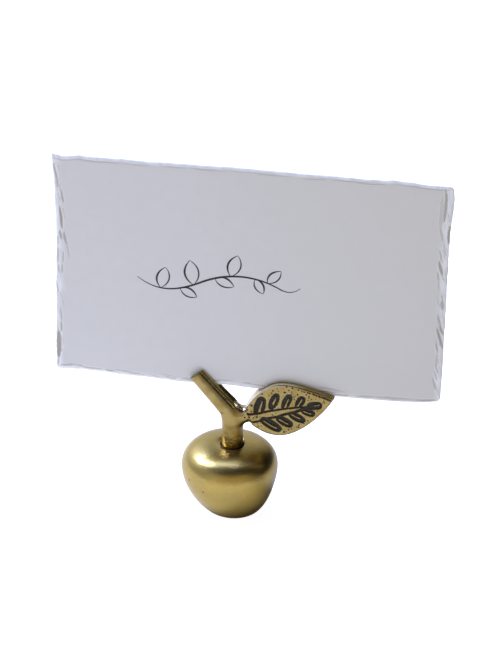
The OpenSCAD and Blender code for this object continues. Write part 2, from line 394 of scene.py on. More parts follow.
# %% [markdown]
# A perfect loft looks like plastic. Hammering and rubbing leave broad shallow flats, so the
# outside is pushed in by a few hundredths of a millimetre, here more and there less. It is
# never pushed out, to stay inside the sizes that the part promises, and not moved at its edges.

# %% Dress the apple
FLAT_SIZE, FLAT_DEPTH = 5.0, 0.035
RIPPLE_SIZE, RIPPLE_DEPTH = 1.7, 0.012

outside = np.zeros(len(points))
outside[: len(skin) * APPLE_SIDES] = 1
free = outside * smooth_step(0.05, 1.5, points[:, 2] - metal_z)
radial = np.hypot(points[:, 0], points[:, 1])
free *= smooth_step(mouth_r + 0.1, mouth_r + 1.2, radial)
flats = FLAT_DEPTH * (lumps(points, FLAT_SIZE, 3) - 1)
ripples = RIPPLE_DEPTH * lumps(points, RIPPLE_SIZE, 4) - RIPPLE_DEPTH
outward = points - np.array([0, 0, 0.62 * crest_z])
outward /= np.linalg.norm(outward, axis=1)[:, None]
points = points + outward * ((flats + ripples) * free)[:, None]
apple = make_piece("apple_skin", points, faces, "holder", sharp=35)
apple.data.materials.append(satin.material)
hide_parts("apple_body")

# %% [markdown]
# The twig and leaf are one casting, and no two of its shapes meet in a sharp corner. Joining
# tubes and plates with booleans would leave those corners, so this piece is sculpted with a
# distance field instead: a function that says how far any point is from the metal. Two fields
# melt into one with a soft minimum, and a soft maximum cuts a slot with worn edges.

# %% Distance fields
def melt(first, second, reach):
    """Two solids as one, with a fillet about as wide as reach."""
    share = np.clip(0.5 + 0.5 * (second - first) / reach, 0, 1)
    return second * (1 - share) + first * share - reach * share * (1 - share)


def cut(solid, tool, wear):
    """The solid without the tool, its new edges rounded by wear."""
    return -melt(-solid, tool, wear)


def within(solid, other, wear):
    """What both solids share, its new edges rounded by wear."""
    return -melt(-solid, -other, wear)


def outline_distance(x, z, corners):
    """Distance to a closed outline in the plane of the leaf, negative inside it."""
    nearest = np.full(np.broadcast(x, z).shape, np.inf)
    inside = np.ones(nearest.shape)
    for (ax, az), (bx, bz) in zip(corners, np.roll(corners, -1, axis=0)):
        ex, ez = bx - ax, bz - az
        if ex == ez == 0:
            continue
        t = np.clip(((x - ax) * ex + (z - az) * ez) / (ex * ex + ez * ez), 0, 1)
        nearest = np.minimum(nearest, (x - ax - t * ex) ** 2 + (z - az - t * ez) ** 2)
        above_a, above_b = z >= az, z >= bz
        left = ex * (z - az) > ez * (x - ax)
        crosses = (above_a & ~above_b & ~left) | (~above_a & above_b & left)
        inside = np.where(crosses, -inside, inside)
    return np.sqrt(nearest) * inside


def rounded_slab(flat, y, thickness, rim):
    """A slab that follows a flat outline's distance, with its rims rounded."""
    a, b = flat + rim, np.abs(y) - thickness / 2 + rim
    return np.minimum(np.maximum(a, b), 0) + np.hypot(np.maximum(a, 0), np.maximum(b, 0)) - rim


# %% [markdown]
# The stem bends into the twig, and one line runs up the middle of both. The distance to a bent
# tube is the distance to that line less the tube's radius, and the radius shrinks towards the
# tip. A plane square to the line then cuts the tip flat, as a saw did.

# %% Stem and twig
fork_z = 26.7
lean = radians(41)
bend_r = 6.0
twig_len = 13.3
tip_r = 2.125
taper_curve = 0.8
tip_wear, end_wear = 0.3, 0.2
bend_set = bend_r * tan(lean / 2)
bend_z = fork_z - bend_set
twig_way = np.array([-sin(lean), cos(lean)])
twig_start = np.array([0, fork_z]) + bend_set * twig_way
twig_run = twig_len - bend_set
print("twig runs straight for", round(twig_run, 2), "mm after its bend")


def twig_radius(along):
    """The twig's radius at a distance from its start."""
    return stem_r + (tip_r - stem_r) * np.clip(along / twig_run, 0, 1) ** taper_curve


def stem_and_twig(x, y, z):
    """Distance to the stem, its bend and the twig, cut off square at both ends."""
    stem = np.sqrt(x**2 + y**2 + np.maximum(z - bend_z, 0) ** 2) - stem_r
    angle = np.clip(np.arctan2(z - bend_z, x + bend_r), 0, lean)
    off_x = x + bend_r - bend_r * np.cos(angle)
    off_z = z - bend_z - bend_r * np.sin(angle)
    bend = np.sqrt(off_x**2 + off_z**2 + y**2) - stem_r
    along = (x - twig_start[0]) * twig_way[0] + (z - twig_start[1]) * twig_way[1]
    inside_run = np.clip(along, 0, twig_run + 2 * tip_r)
    off_x = x - twig_start[0] - inside_run * twig_way[0]
    off_z = z - twig_start[1] - inside_run * twig_way[1]
    twig = np.sqrt(off_x**2 + off_z**2 + y**2) - twig_radius(inside_run)
    tube = np.minimum(np.minimum(stem, bend), twig)
    tube = within(tube, along - twig_run, tip_wear)
    return within(tube, socket_z - z, end_wear)


# %% [markdown]
# The leaf is a plate with a rounded rim, turned up from the level. Its outline is four curves
# given as shares of its length and width. The stalk is a short thick web between stem and leaf,
# and melting the three together gives the smooth saddle above it and the hollow below.

# %% Leaf and stalk
leaf_len, leaf_w, leaf_t = 21.3, 13.7, 4.4
leaf_rise = radians(19.4)
leaf_x, leaf_z = 4.1, 26.7
leaf_rim = 0.6
stalk_h, stalk_t, stalk_rim = 4.3, 0.92 * leaf_t, 1.7
stalk_half_h = 0.44 * stalk_h
stalk_root = np.array([0, leaf_z - leaf_x * tan(leaf_rise) + 0.1])
stalk_head = np.array([leaf_x + 2.0, leaf_z + 0.7])
stalk_run = stalk_head - stalk_root
upper_shares = [(0, 0.336), (0.123, 0.715), (0.265, 1), (0.408, 1),
                (0.578, 1), (0.77, 0.5), (1, 0)]
lower_shares = [(0, -0.336), (0.076, -0.7), (0.185, -1), (0.341, -1),
                (0.531, -1), (0.806, -0.57), (1, 0)]


def leaf_side(shares, steps=16):
    """One side of the leaf, from base to tip, in the leaf's own plane."""
    p = np.array(shares) * (leaf_len, leaf_w / 2)
    return np.vstack([bezier(*p[:4], steps), bezier(*p[3:], steps)[1:]])


leaf_outline = np.vstack([leaf_side(upper_shares), leaf_side(lower_shares)[::-1][1:]])
print("leaf's outline has", len(leaf_outline), "corners")


def to_leaf(x, z):
    """From the part's x and z to the leaf's own length and height."""
    dx, dz = x - leaf_x, z - leaf_z
    return dx * cos(leaf_rise) + dz * sin(leaf_rise), dz * cos(leaf_rise) - dx * sin(leaf_rise)


def leaf_plate(x, y, z):
    """Distance to the leaf."""
    length, height = to_leaf(x, z)
    return rounded_slab(outline_distance(length, height, leaf_outline), y, leaf_t, leaf_rim)


def stalk(x, y, z):
    """Distance to the web between the stem and the leaf."""
    dx, dz = x - stalk_root[0], z - stalk_root[1]
    t = np.clip((dx * stalk_run[0] + dz * stalk_run[1]) / (stalk_run @ stalk_run), 0, 1)
    flat = np.hypot(dx - t * stalk_run[0], dz - t * stalk_run[1]) - stalk_half_h
    return rounded_slab(flat, y, stalk_t, stalk_rim)


# %% [markdown]
# One pass of a wide saw made the slot. In the leaf and across the twig's tip its floor is level,
# because the card stands on it. Between them the saw ran on down the upper side of the twig, and
# that groove is the dark line along the twig.

# %% Card slot
slot_w = 1.4
groove_depth = 1.5
slot_z = 33.3
tip_floor_z = 33.72
groove_end_z = 29.2
groove_end_slope = 0.3
groove_end_x = 1.35
overlap = 0.01
print("slot's floor is", slot_z, "mm up in the leaf and", tip_floor_z, "mm up in the twig")


def slot_tool(x, y, z):
    """Distance to the space that the saw took away."""
    groove = stem_r - groove_depth
    down_twig = groove - x * cos(lean) - (z - fork_z) * sin(lean)
    beside_twig = np.maximum(down_twig, groove_end_z + groove_end_slope * x - z)
    over_twig = np.maximum(np.minimum(tip_floor_z - z, beside_twig), x - groove_end_x)
    over_leaf = np.maximum(slot_z - z, leaf_x / 2 - x - overlap)
    flat = np.minimum(over_twig, over_leaf)
    return np.maximum(flat, np.abs(y) - slot_w / 2)


# %% [markdown]
# In front of that groove a second, narrow line runs the whole way along the twig, worn shallow
# and full of black. It lies on the twig's surface, so it follows the twig as it thins.

# %% Narrow line
line_angle = radians(49.6)
line_start = 1.3
line_r = 0.22


def twig_line(x, y, z):
    """Distance to the narrow cut along the front of the twig."""
    along = (z - fork_z) * cos(lean) - x * sin(lean)
    across = x * cos(lean) + (z - fork_z) * sin(lean)
    radius = twig_radius(along - bend_set)
    before = np.maximum(line_start - along, 0)
    return np.sqrt((across - radius * cos(line_angle)) ** 2
                   + (y + radius * sin(line_angle)) ** 2 + before**2) - line_r


# %% [markdown]
# The sprig was cut into the leaf's face by hand and filled with black. Each leaflet is an almond
# ring round a bright slit. Its edge swells and narrows as a power of the way along it, from a
# base, a tip, a width on each side and the share of its length where it is widest. Everything
# else in the sprig is a stroke: a cut along a path that starts with one width and ends with
# another.

# %% Almonds and strokes
def almond(x, z, base, tip, left, right, widest, blunt):
    """Roughly the distance to an almond from base to tip, negative inside it."""
    base, tip = np.array(base), np.array(tip)
    length = np.linalg.norm(tip - base)
    way = (tip - base) / length
    s = ((x - base[0]) * way[0] + (z - base[1]) * way[1]) / length
    across = (z - base[1]) * way[0] - (x - base[0]) * way[1]
    t = np.clip(s, 1e-4, 1 - 1e-4)
    swell = ((t / widest) ** widest * ((1 - t) / (1 - widest)) ** (1 - widest)) ** blunt
    half = np.where(across > 0, left, right) * swell
    beyond = np.maximum(np.maximum(-s, s - 1), 0) * length
    past_edge = np.abs(across) - half
    return np.hypot(np.maximum(past_edge, 0), beyond) + np.minimum(past_edge, 0)


def stroke(x, z, path, wide_start, wide_end):
    """Distance to a cut of changing width along a path."""
    nearest = np.full(np.broadcast(x, z).shape, np.inf)
    steps = np.linspace(wide_start, wide_end, len(path)) / 2
    for a, b, ra, rb in zip(path[:-1], path[1:], steps[:-1], steps[1:]):
        run = np.subtract(b, a)
        t = np.clip(((x - a[0]) * run[0] + (z - a[1]) * run[1]) / (run @ run), 0, 1)
        away = np.hypot(x - a[0] - t * run[0], z - a[1] - t * run[1])
        nearest = np.minimum(nearest, away - ra - t * (rb - ra))
    return nearest


# %% [markdown]
# These are the sprig's cuts, in the part's x and z: four leaflets above the rib, four below it
# and one at its end, the slit in each, and the plain cuts. A list of such numbers can be read
# and changed, which a painted picture of the sprig could not.

# %% Engraved sprig
# Each leaflet: base, tip, width to its left and right, widest share, bluntness
upper_leaflets = [
    ((6.1, 27.3), (7.3, 32.75), 1.4, 1.3, 0.5, 0.7),
    ((9.2, 29.45), (10.8, 34.0), 1.1, 1.05, 0.5, 0.75),
    ((12.15, 29.6), (13.8, 33.95), 1.1, 1.0, 0.58, 0.7),
    ((15.4, 30.5), (16.9, 33.75), 1.05, 1.0, 0.55, 0.7),
]
lower_leaflets = [
    ((6.9, 26.75), (11.8, 23.85), 1.35, 1.2, 0.5, 0.7),
    ((10.7, 27.45), (14.5, 25.45), 1.2, 1.15, 0.5, 0.7),
    ((13.5, 29.0), (17.5, 27.0), 1.0, 1.15, 0.5, 0.75),
    ((16.4, 30.2), (19.7, 29.05), 1.0, 1.05, 0.55, 0.7),
]
end_leaflet = ((17.8, 31.15), (21.3, 31.85), 1.15, 1.1, 0.52, 0.6)
# The bright slit in each leaflet: where it starts and ends, and its width at each
slits = [
    ((6.5, 28.0), (6.75, 29.5), (7.05, 30.7), (7.2, 31.5), 0.55, 0.2),
    ((9.85, 31.0), (10.15, 31.9), (10.42, 32.8), 0.42, 0.2),
    ((12.66, 30.1), (12.95, 31.45), (13.45, 32.7), 0.42, 0.2),
    ((15.57, 30.9), (16.1, 31.95), (16.6, 32.95), 0.36, 0.18),
    ((7.75, 26.05), (9.3, 25.05), (10.7, 24.45), 0.24, 0.32),
    ((11.35, 26.9), (12.45, 26.3), (13.4, 25.85), 0.3, 0.26),
    ((14.3, 28.55), (15.3, 28.0), (16.2, 27.65), 0.3, 0.28),
    ((17.1, 29.7), (18.0, 29.4), (18.8, 29.2), 0.26, 0.22),
    ((19.6, 31.5), (20.2, 31.7), (20.7, 31.88), 0.2, 0.22),
]
upper_rib = [(3.8, 27.6), (5.15, 27.85), (6.9, 28.3), (8.9, 29.0), (12.35, 29.9), (14.5, 30.45),
             (16.2, 30.8), (17.65, 31.0), (18.3, 31.1)]
lower_rib = [(7.4, 26.6), (8.55, 26.95), (10.95, 27.65), (12.4, 28.4), (14.6, 29.2), (15.8, 29.8),
             (16.7, 30.25), (17.5, 30.7), (18.1, 30.95)]
foot_cut = [(5.25, 25.58), (6.6, 26.0), (7.6, 26.6)]
last_cut = [(16.45, 26.75), (17.3, 26.35)]
tail_cut = [(16.7, 27.6), (17.55, 27.05)]
# Each plain cut: its path, and its width at the start and at the end
plain_cuts = [(upper_rib, 0.62, 0.5), (lower_rib, 0.62, 0.8), (foot_cut, 0.55, 0.6),
              (last_cut, 0.3, 0.22), (tail_cut, 0.5, 0.12)]
# The upper leaflets end on a straight line along the rib: a point on it and its slope
rib_x, rib_z, rib_slope = 5.5, 28.05, 0.257
print("sprig has", len(upper_leaflets + lower_leaflets) + 1, "leaflets and", len(slits), "slits")


def sprig_distance(x, z):
    """Distance to the blackened cuts of the sprig, negative in them."""
    below_rib = -(z - rib_z - rib_slope * (x - rib_x))
    sprig = np.full(np.broadcast(x, z).shape, np.inf)
    for leaflet in upper_leaflets:
        sprig = np.minimum(sprig, np.maximum(almond(x, z, *leaflet), below_rib))
    for leaflet in [*lower_leaflets, end_leaflet]:
        sprig = np.minimum(sprig, almond(x, z, *leaflet))
    for *path, wide_start, wide_end in slits:
        sprig = np.maximum(sprig, -stroke(x, z, path, wide_start, wide_end))
    for path, wide_start, wide_end in plain_cuts:
        sprig = np.minimum(sprig, stroke(x, z, path, wide_start, wide_end))
    return sprig


# %% [markdown]
# Between the cuts the face is peppered with small pits from casting and wear, and a broken dark
# line follows the edge of the rim towards the tip. The pits that stand out have their places
# here, each with a radius, and a seeded scatter adds the finer ones.

# %% Pits and the broken rim line
big_pits = [
    (4.67, 30.12, 0.29), (3.72, 28.84, 0.19), (4.65, 28.48, 0.17), (4.19, 26.85, 0.25),
    (6.03, 27.1, 0.27), (3.13, 26.52, 0.22), (7.17, 33.47, 0.22), (9.7, 34.62, 0.24),
    (9.33, 34.02, 0.15), (8.81, 33.18, 0.17), (10.74, 35.17, 0.16), (11.0, 34.6, 0.2),
    (12.45, 34.45, 0.26), (12.13, 33.41, 0.12), (13.39, 35.16, 0.18), (14.05, 34.72, 0.14),
    (15.56, 34.03, 0.18), (17.57, 34.34, 0.19), (18.34, 34.14, 0.1), (14.71, 33.44, 0.13),
    (14.77, 32.83, 0.13), (18.22, 33.51, 0.11), (18.8, 33.18, 0.11), (21.85, 32.59, 0.15),
    (18.05, 27.31, 0.15), (15.97, 25.79, 0.13), (15.93, 25.28, 0.18), (14.35, 24.72, 0.13),
    (13.66, 24.36, 0.2), (12.51, 23.56, 0.2), (13.09, 23.79, 0.13), (6.42, 24.59, 0.15),
    (12.89, 36.05, 0.18), (14.2, 35.85, 0.24), (5.35, 26.9, 0.14), (5.1, 26.55, 0.12),
]
FINE_PITS = 70
FACE_LOW, FACE_HIGH = (3.5, 22), (24, 37)
CLEAR_OF_RIM, CLEAR_OF_SPRIG = 1.2, 0.15
FINE_PIT_RADII = (0.05, 0.11)
RIM_LINE_WIDTHS = (0.1, 0.62)
rng = np.random.default_rng(11)
fine_pits = []
while len(fine_pits) < FINE_PITS:
    x, z = rng.uniform(FACE_LOW, FACE_HIGH)
    length, height = to_leaf(x, z)
    from_rim = outline_distance(np.array([length]), np.array([height]), leaf_outline)[0]
    from_sprig = sprig_distance(np.array([x]), np.array([z]))[0]
    if from_rim < -CLEAR_OF_RIM and from_sprig > CLEAR_OF_SPRIG:
        fine_pits.append((x, z, rng.uniform(*FINE_PIT_RADII)))
print(len(big_pits), "larger pits and", len(fine_pits), "fine ones")
rim_line = [(14.1, 35.85), (15.5, 35.55), (16.1, 35.28), (17.35, 35.0), (17.85, 34.93),
            (19.2, 34.65), (19.8, 34.42), (21.9, 33.85), (23.2, 33.3)]


def pit_distance(x, z):
    """Distance to the nearest pit on the leaf's face."""
    nearest = np.full(np.broadcast(x, z).shape, np.inf)
    for px, pz, radius in big_pits + fine_pits:
        nearest = np.minimum(nearest, np.hypot(x - px, z - pz) - radius)
    return nearest


def rim_line_distance(x, z):
    """Distance to the dark line along the rim, broken at its thin end and thick at the tip."""
    broken = (0.11 * np.sin(5.1 * x) + 0.09 * np.sin(8.7 * x + 1)) * smooth_step(23, 20, x)
    return stroke(x, z, rim_line, *RIM_LINE_WIDTHS) + np.maximum(broken, -0.05)


# %% [markdown]
# All of it comes together here. The engraving is not a tool of its own: it pushes the face of the
# leaf back by its depth, most in the middle of each cut. The depth depends on x and z alone, so
# it is worked out on one flat layer and spread through the whole block of space.

# %% The whole casting as one field
ENGRAVE_DEPTH = 0.3
PIT_DEPTH = 0.14
RIM_LINE_DEPTH = 0.16
# The walls of a cut start at the first distance from its edge and end at the second
CUT_WALL, PIT_WALL, RIM_LINE_WALL = (0.06, -0.3), (0.05, -0.12), (0.08, -0.2)
STALK_FILLET, LEAF_FILLET = 1.5, 1.0
SLOT_WEAR, LINE_WEAR, HOLE_WEAR = 0.12, 0.1, 0.05
thread_hole_r, thread_hole_top = 1.55, 13.75


def engraved(x, z):
    """How deep the leaf's front face is cut at a point."""
    cuts = ENGRAVE_DEPTH * smooth_step(*CUT_WALL, sprig_distance(x, z))
    pits = PIT_DEPTH * smooth_step(*PIT_WALL, pit_distance(x, z))
    line = RIM_LINE_DEPTH * smooth_step(*RIM_LINE_WALL, rim_line_distance(x, z))
    return np.maximum(np.maximum(cuts, pits), line)


def casting(x, y, z):
    """Distance to the twig and leaf casting, in millimetres."""
    metal = melt(stem_and_twig(x, y, z), stalk(x, y, z), STALK_FILLET)
    metal = melt(metal, leaf_plate(x, y, z), LEAF_FILLET)
    metal = metal + engraved(x, z) * smooth_step(-1.0, -1.5, y)
    metal = cut(metal, slot_tool(x, y, z), SLOT_WEAR)
    metal = cut(metal, twig_line(x, y, z), LINE_WEAR)
    thread_hole = np.maximum(np.hypot(x, y) - thread_hole_r, z - thread_hole_top)
    return cut(metal, thread_hole, HOLE_WEAR)


# %% [markdown]
# A surface net turns the field into a mesh. It looks at every small cube of space that the surface
# passes through, puts one point in it, and joins the points of neighbouring cubes with quads.
# Each point is then slid along the field's slope until it lies on the metal's true surface,
# which keeps reflections smooth at this size.

# %% Surface net
def surface_net(field, low, high, pitch):
    """Points and quads where the field crosses zero between two corners."""
    x, y, z = (np.arange(a, b + pitch, pitch) for a, b in zip(low, high))
    values = field(x[:, None, None], y[None, :, None], z[None, None, :])
    solid = values < 0
    nx, ny, nz = np.array(solid.shape) - 1
    count = np.zeros((nx, ny, nz), int)
    for i, j, k in product((0, 1), repeat=3):
        count += solid[i: i + nx, j: j + ny, k: k + nz]
    crossed = (count > 0) & (count < 8)
    cells = np.argwhere(crossed)
    number = np.full(crossed.shape, -1)
    number[crossed] = np.arange(len(cells))
    total, hits = np.zeros((len(cells), 3)), np.zeros((len(cells), 1))
    quads = []
    for axis in range(3):
        step = np.eye(3, dtype=int)[axis]
        others = [np.eye(3, dtype=int)[k] for k in ((axis + 1) % 3, (axis + 2) % 3)]
        for i, j in product((0, 1), repeat=2):
            start = cells + i * others[0] + j * others[1]
            a, b = values[tuple(start.T)], values[tuple((start + step).T)]
            hit = (a < 0) != (b < 0)
            share = (a / np.where(hit, a - b, 1))[:, None]
            total += np.where(hit[:, None], start + share * step, 0)
            hits += hit[:, None]
        first = tuple(slice(0, n - s) for n, s in zip(solid.shape, step))
        second = tuple(slice(s, n) for n, s in zip(solid.shape, step))
        starts = np.argwhere(solid[first] != solid[second])
        around = [starts, starts - others[0], starts - others[0] - others[1], starts - others[1]]
        ring = np.stack([number[tuple(c.T)] for c in around], axis=1)
        flip = ~solid[tuple(starts.T)]
        ring[flip] = ring[flip][:, ::-1]
        quads.append(ring)
    return np.array(low) + pitch * total / hits, np.vstack(quads)


def slope(field, points, step=0.02):
    """The field's slope at each point."""
    parts = []
    for offset in np.eye(3) * step:
        ahead, behind = (points + offset).T, (points - offset).T
        parts.append((field(*ahead) - field(*behind)) / (2 * step))
    return np.stack(parts, axis=1)


def settle_points(field, points, rounds, most):
    """Slides each point along the slope onto the surface."""
    for _ in range(rounds):
        way = slope(field, points)
        strength = np.maximum((way**2).sum(axis=1), 0.2)
        move = -(field(*points.T) / strength)[:, None] * way
        size = np.linalg.norm(move, axis=1)[:, None]
        points = points + move * np.minimum(1, most / np.maximum(size, 1e-9))
    return points


# %% [markdown]
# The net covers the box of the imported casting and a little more. Cubes of an eighth of a
# millimetre are small enough for the larger pits and for sharp edges on the cuts, and still few
# enough for a light mesh.

# %% Cast the twig and leaf
PITCH = 0.13
margin = 0.4
net_low = (cast_low[0] - margin, cast_low[1] - margin, socket_z - margin)
net_high = cast_high + margin
points, faces = surface_net(casting, net_low, net_high, PITCH)
points = settle_points(casting, points, rounds=2, most=0.5 * PITCH)
print("casting spans", points.min(axis=0).round(2), "to", points.max(axis=0).round(2))

# %% [markdown]
# The black in the cuts is worked out where the metal is known best, on the points of the mesh,
# and carried to the finish as a mark of patina and painted shade. Rough edges come from lumps
# added to the distance before it is turned into black. The narrow line on the twig is as black
# as the sprig, and below it a dark band is painted on the metal as a painted reflection. The
# slot is darkened as painted shade, and the stem's foot in the socket's mouth as dirt and
# painted shade, both less than the cuts.

# %% Patina
# Black begins at the first distance from a cut and is full at the second
CUT_EDGE, PIT_EDGE, LINE_EDGE = (0.05, -0.08), (0.04, -0.05), (0.1, -0.03)
PAINTED_DARK_BAND, SLOT_SHADE, FOOT_DIRT_AND_SHADE = 0.4, 0.66, 0.9
LINE_BELOW, LINE_SOFT = radians(40), radians(4)

x, y, z = points.T
ragged = 0.09 * lumps(points, 0.35, 21) + 0.06 * lumps(points, 0.16, 22)
front = smooth_step(-1.2, -1.6, y) * (x > 2.6)
black = smooth_step(*CUT_EDGE, sprig_distance(x, z) + ragged)
black = np.maximum(black, smooth_step(*PIT_EDGE, pit_distance(x, z) + ragged))
black = np.maximum(black, smooth_step(*CUT_EDGE, rim_line_distance(x, z) + ragged))
black = black * front
line = twig_line(x, y, z)
black = np.maximum(black, smooth_step(*LINE_EDGE, line + 0.6 * ragged))

# Painted reflection: a dark band below the narrow line, for the dark room mirrored by the twig
round_twig = np.arctan2(x * cos(lean) + (z - fork_z) * sin(lean), -y)
below_line = smooth_step(-LINE_SOFT, LINE_SOFT, LINE_BELOW - round_twig) * (y < 0) * (x < 2.4)
painted_dark_band = PAINTED_DARK_BAND * below_line * smooth_step(1.5, 0.1, line + 0.35 * lumps(points, 1.1, 23))
# Painted shade: the inside of the slot is darkened
in_slot = smooth_step(0.12, 0.03, slot_tool(x, y, z)) * smooth_step(28.6, 29.3, z)
# Dirt and painted shade: the stem is darkened where it goes into the socket
foot = smooth_step(mouth_z + 0.25, mouth_z - 0.2, z)
patina = np.maximum(np.maximum(black, SLOT_SHADE * in_slot), np.maximum(FOOT_DIRT_AND_SHADE * foot, painted_dark_band))
print("black covers", round(100 * float((patina > 0.5).mean())), "percent of the points")

# %% [markdown]
# Two more marks are painted light. A painted reflection turns the stem a deeper, darker yellow,
# more on its right side than on its left, and most at its foot. A painted highlight of pale
# metal lies on what faces up: the saddle, and the front of the leaf's upper rim. Hand filing
# comes last, as shallow flats everywhere and small hammer marks round the foot of the stem, and
# it is left off in the slot, which keeps its width.

# %% Painted reflection, painted highlight and file marks
SADDLE_HIGHLIGHT, RIM_HIGHLIGHT = 0.4, 0.85
saddle_x, saddle_z = 3.6, 29.9

# Painted reflection: the stem turns deeper and darker towards its right side and its foot
darker_to_right = 0.45 + 0.55 * smooth_step(-0.4, 1.8, x)
handled = smooth_step(27, 21, z) * darker_to_right * (x < 3)
handled = np.minimum(1, handled + 0.5 * smooth_step(20.5, 18, z))

normal = slope(casting, points)
normal /= np.linalg.norm(normal, axis=1)[:, None]
faces_up = smooth_step(0.2, 0.5, normal[:, 2])
# Painted highlight: pale metal on the saddle and the upper rim, where they face up
saddle = smooth_step(3.4, 2.2, np.hypot(x - saddle_x, z - saddle_z)) * faces_up
upper_rim = faces_up * smooth_step(-1.1, -1.5, y) * smooth_step(18, 13, x) * (x > 3) * (z > 29)
worn = np.maximum(SADDLE_HIGHLIGHT * saddle, RIM_HIGHLIGHT * upper_rim) * (1 - black) * (1 - in_slot)

filed = 0.018 * lumps(points, 2.4, 31) + 0.008 * lumps(points, 0.9, 32)
hammered = 0.09 * lumps(points, 0.8, 33) * smooth_step(24, 19, z) * smooth_step(17.6, 18.2, z)
points = points - normal * (np.abs(filed + hammered) * (1 - in_slot))[:, None]
cast = make_piece("twig_and_leaf", points, faces, "holder",
                  marks={"patina": patina, "handled": handled, "worn": worn})
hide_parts("branch_leaf")

# %% [markdown]
# The casting is polished brighter than the apple, with a yellow tone, and black is left where the
# polishing mop could not reach. So the finish mixes brass with a dull black by the mark of patina
# and painted shade, which also takes away the metal's shine. The painted reflection turns the stem
# a deeper, darker yellow, and the painted highlight lays pale metal on the saddle and upper rim.
# Fine scratches lie in the bump.

# %% Antique brass
POLISHED = (0.37, 0.275, 0.095)
TARNISHED = (0.3, 0.21, 0.06)
# Painted reflection: the stem's deeper, darker yellow
STEM_REFLECTION_TONE = (0.22, 0.14, 0.025)
# Painted highlight: near-white metal laid on the saddle and the rim
PALE_HIGHLIGHT_TONE = (0.92, 0.82, 0.62)
SPECKLED = (0.12, 0.08, 0.04)
SOOT = (0.06, 0.05, 0.028)

antique = Finish("antique_brass")
stain = antique.grain(2.2, detail=4.0)
scratch = antique.grain(0.25, detail=3.0, stretch=(1.0, 1.0, 2.5), roughness=0.6)
speck = antique.grain(0.3, detail=2.0).step(0.3, 0.22)
dark = antique.mark("patina")
tone = antique.mix(stain.step(0.4, 0.7), POLISHED, TARNISHED)
tone = antique.mix(speck * 0.35, tone, SPECKLED)
reflection_on_stem = antique.mark("handled")
tone = antique.mix(reflection_on_stem, tone, STEM_REFLECTION_TONE)
tone = antique.mix(antique.mark("worn") * 0.85, tone, PALE_HIGHLIGHT_TONE)
soot = antique.mix(antique.grain(0.3).step(0.45, 0.75), PATINA, SOOT)
antique.give(
    Metallic=1.0 - dark * 0.95,
    Base_Color=antique.mix(dark, tone, soot),
    Roughness=0.19 + stain * 0.07 + scratch * 0.05 + dark * 0.3 + reflection_on_stem * 0.1,
    Specular_IOR_Level=0.3,
    Normal=antique.bump(scratch, 0.008),
)
cast.data.materials.append(antique.material)

# %% [markdown]
# A screw from below holds the casting in the apple. It hides above the felt, but it is a piece of
# the object, so it gets its real thread. It is a stack of rings, and the radius of every point
# follows the saw-tooth of the thread as it climbs round the shank.

# %% Screw
screw_low, screw_high = box_mm("fixing_screw")
head_r, shank_r, pitch_mm, thread_depth = 2.75, 1.5, 0.5, 0.28
head_bottom, head_top, tip_z = screw_low[2], screw_low[2] + 2.0, screw_high[2]
centre_r = 0.02
driver_wide, driver_deep = 0.8, 0.85
turn_steps, climb_steps = 40, 10


def screw_rings():
    """Rings up the screw: a rounded cheese head, then a threaded shank."""
    head = [(centre_r, head_bottom), (head_r - 0.3, head_bottom),
            (head_r - 0.1, head_bottom + 0.08), (head_r, head_bottom + 0.3),
            (head_r, head_top - 0.1), (head_r - 0.1, head_top), (shank_r - thread_depth, head_top)]
    shank = [(None, h) for h in np.arange(head_top, tip_z - 0.3, pitch_mm / climb_steps)]
    tip = [(0.9, tip_z - 0.05), (centre_r, tip_z)]
    return head + shank + tip


def end_caps(count, sides):
    """The two flat faces that close a loft with that many points."""
    return [tuple(range(sides))[::-1], tuple(range(count - sides, count))]


rows = []
angles = np.linspace(0, 2 * pi, turn_steps, endpoint=False)
for radius, height in screw_rings():
    if radius is None:
        phase = (height / pitch_mm - angles / (2 * pi)) % 1
        ridge = 1 - np.abs(2 * phase - 1)
        wide = shank_r - thread_depth * (1 - ridge)
    else:
        wide = np.full(turn_steps, radius)
    rows.append(np.column_stack([wide * np.cos(angles), wide * np.sin(angles),
                                 np.full(turn_steps, height)]))
screw_points = np.vstack(rows)
# The loft gives the faces here, and the rows above give the points
screw_faces = loft([(0, 1, 0)] * len(rows), turn_steps, closed=False)[1]
screw_faces += end_caps(len(screw_points), turn_steps)
screw = make_piece("screw", screw_points, screw_faces, "holder", sharp=40)
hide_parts("fixing_screw")

# %% [markdown]
# A boolean is the plainest way to cut a straight slot in a finished mesh. The block that cuts is
# longer than the head is wide and starts below it, so none of its faces lies in one of the
# screw's, which could leave slivers.

# %% Driver slot
def box_tool(name, low, high):
    """A plain block in millimetres for a boolean to cut with."""
    corners = list(product(*zip(low, high)))
    sides = [(0, 1, 3, 2), (4, 6, 7, 5), (0, 4, 5, 1), (2, 3, 7, 6), (0, 2, 6, 4), (1, 5, 7, 3)]
    mesh = bpy.data.meshes.new(name)
    mesh.from_pydata(np.array(corners) * MM, [], sides)
    tool = bpy.data.objects.new(name, mesh)
    bpy.context.scene.collection.objects.link(tool)
    return tool


def carve(piece, tool):
    """Cuts the tool out of the piece for good, and deletes the tool."""
    modifier = piece.modifiers.new("carve", "BOOLEAN")
    modifier.operation, modifier.object, modifier.solver = "DIFFERENCE", tool, "EXACT"
    view = bpy.context.evaluated_depsgraph_get()
    carved = bpy.data.meshes.new_from_object(piece.evaluated_get(view))
    piece.modifiers.clear()
    piece.data = carved
    bpy.data.objects.remove(tool)


driver_slot = box_tool("driver", (-4, -driver_wide / 2, head_bottom - 1),
                       (4, driver_wide / 2, head_bottom + driver_deep))
carve(screw, driver_slot)
print("screw has", len(screw.data.polygons), "faces after its slot is cut")

# %% [markdown]
# Zinc-plated steel is bright and faintly blue, with a crystalline spangle that is too small to see
# as shapes and only shifts its roughness.

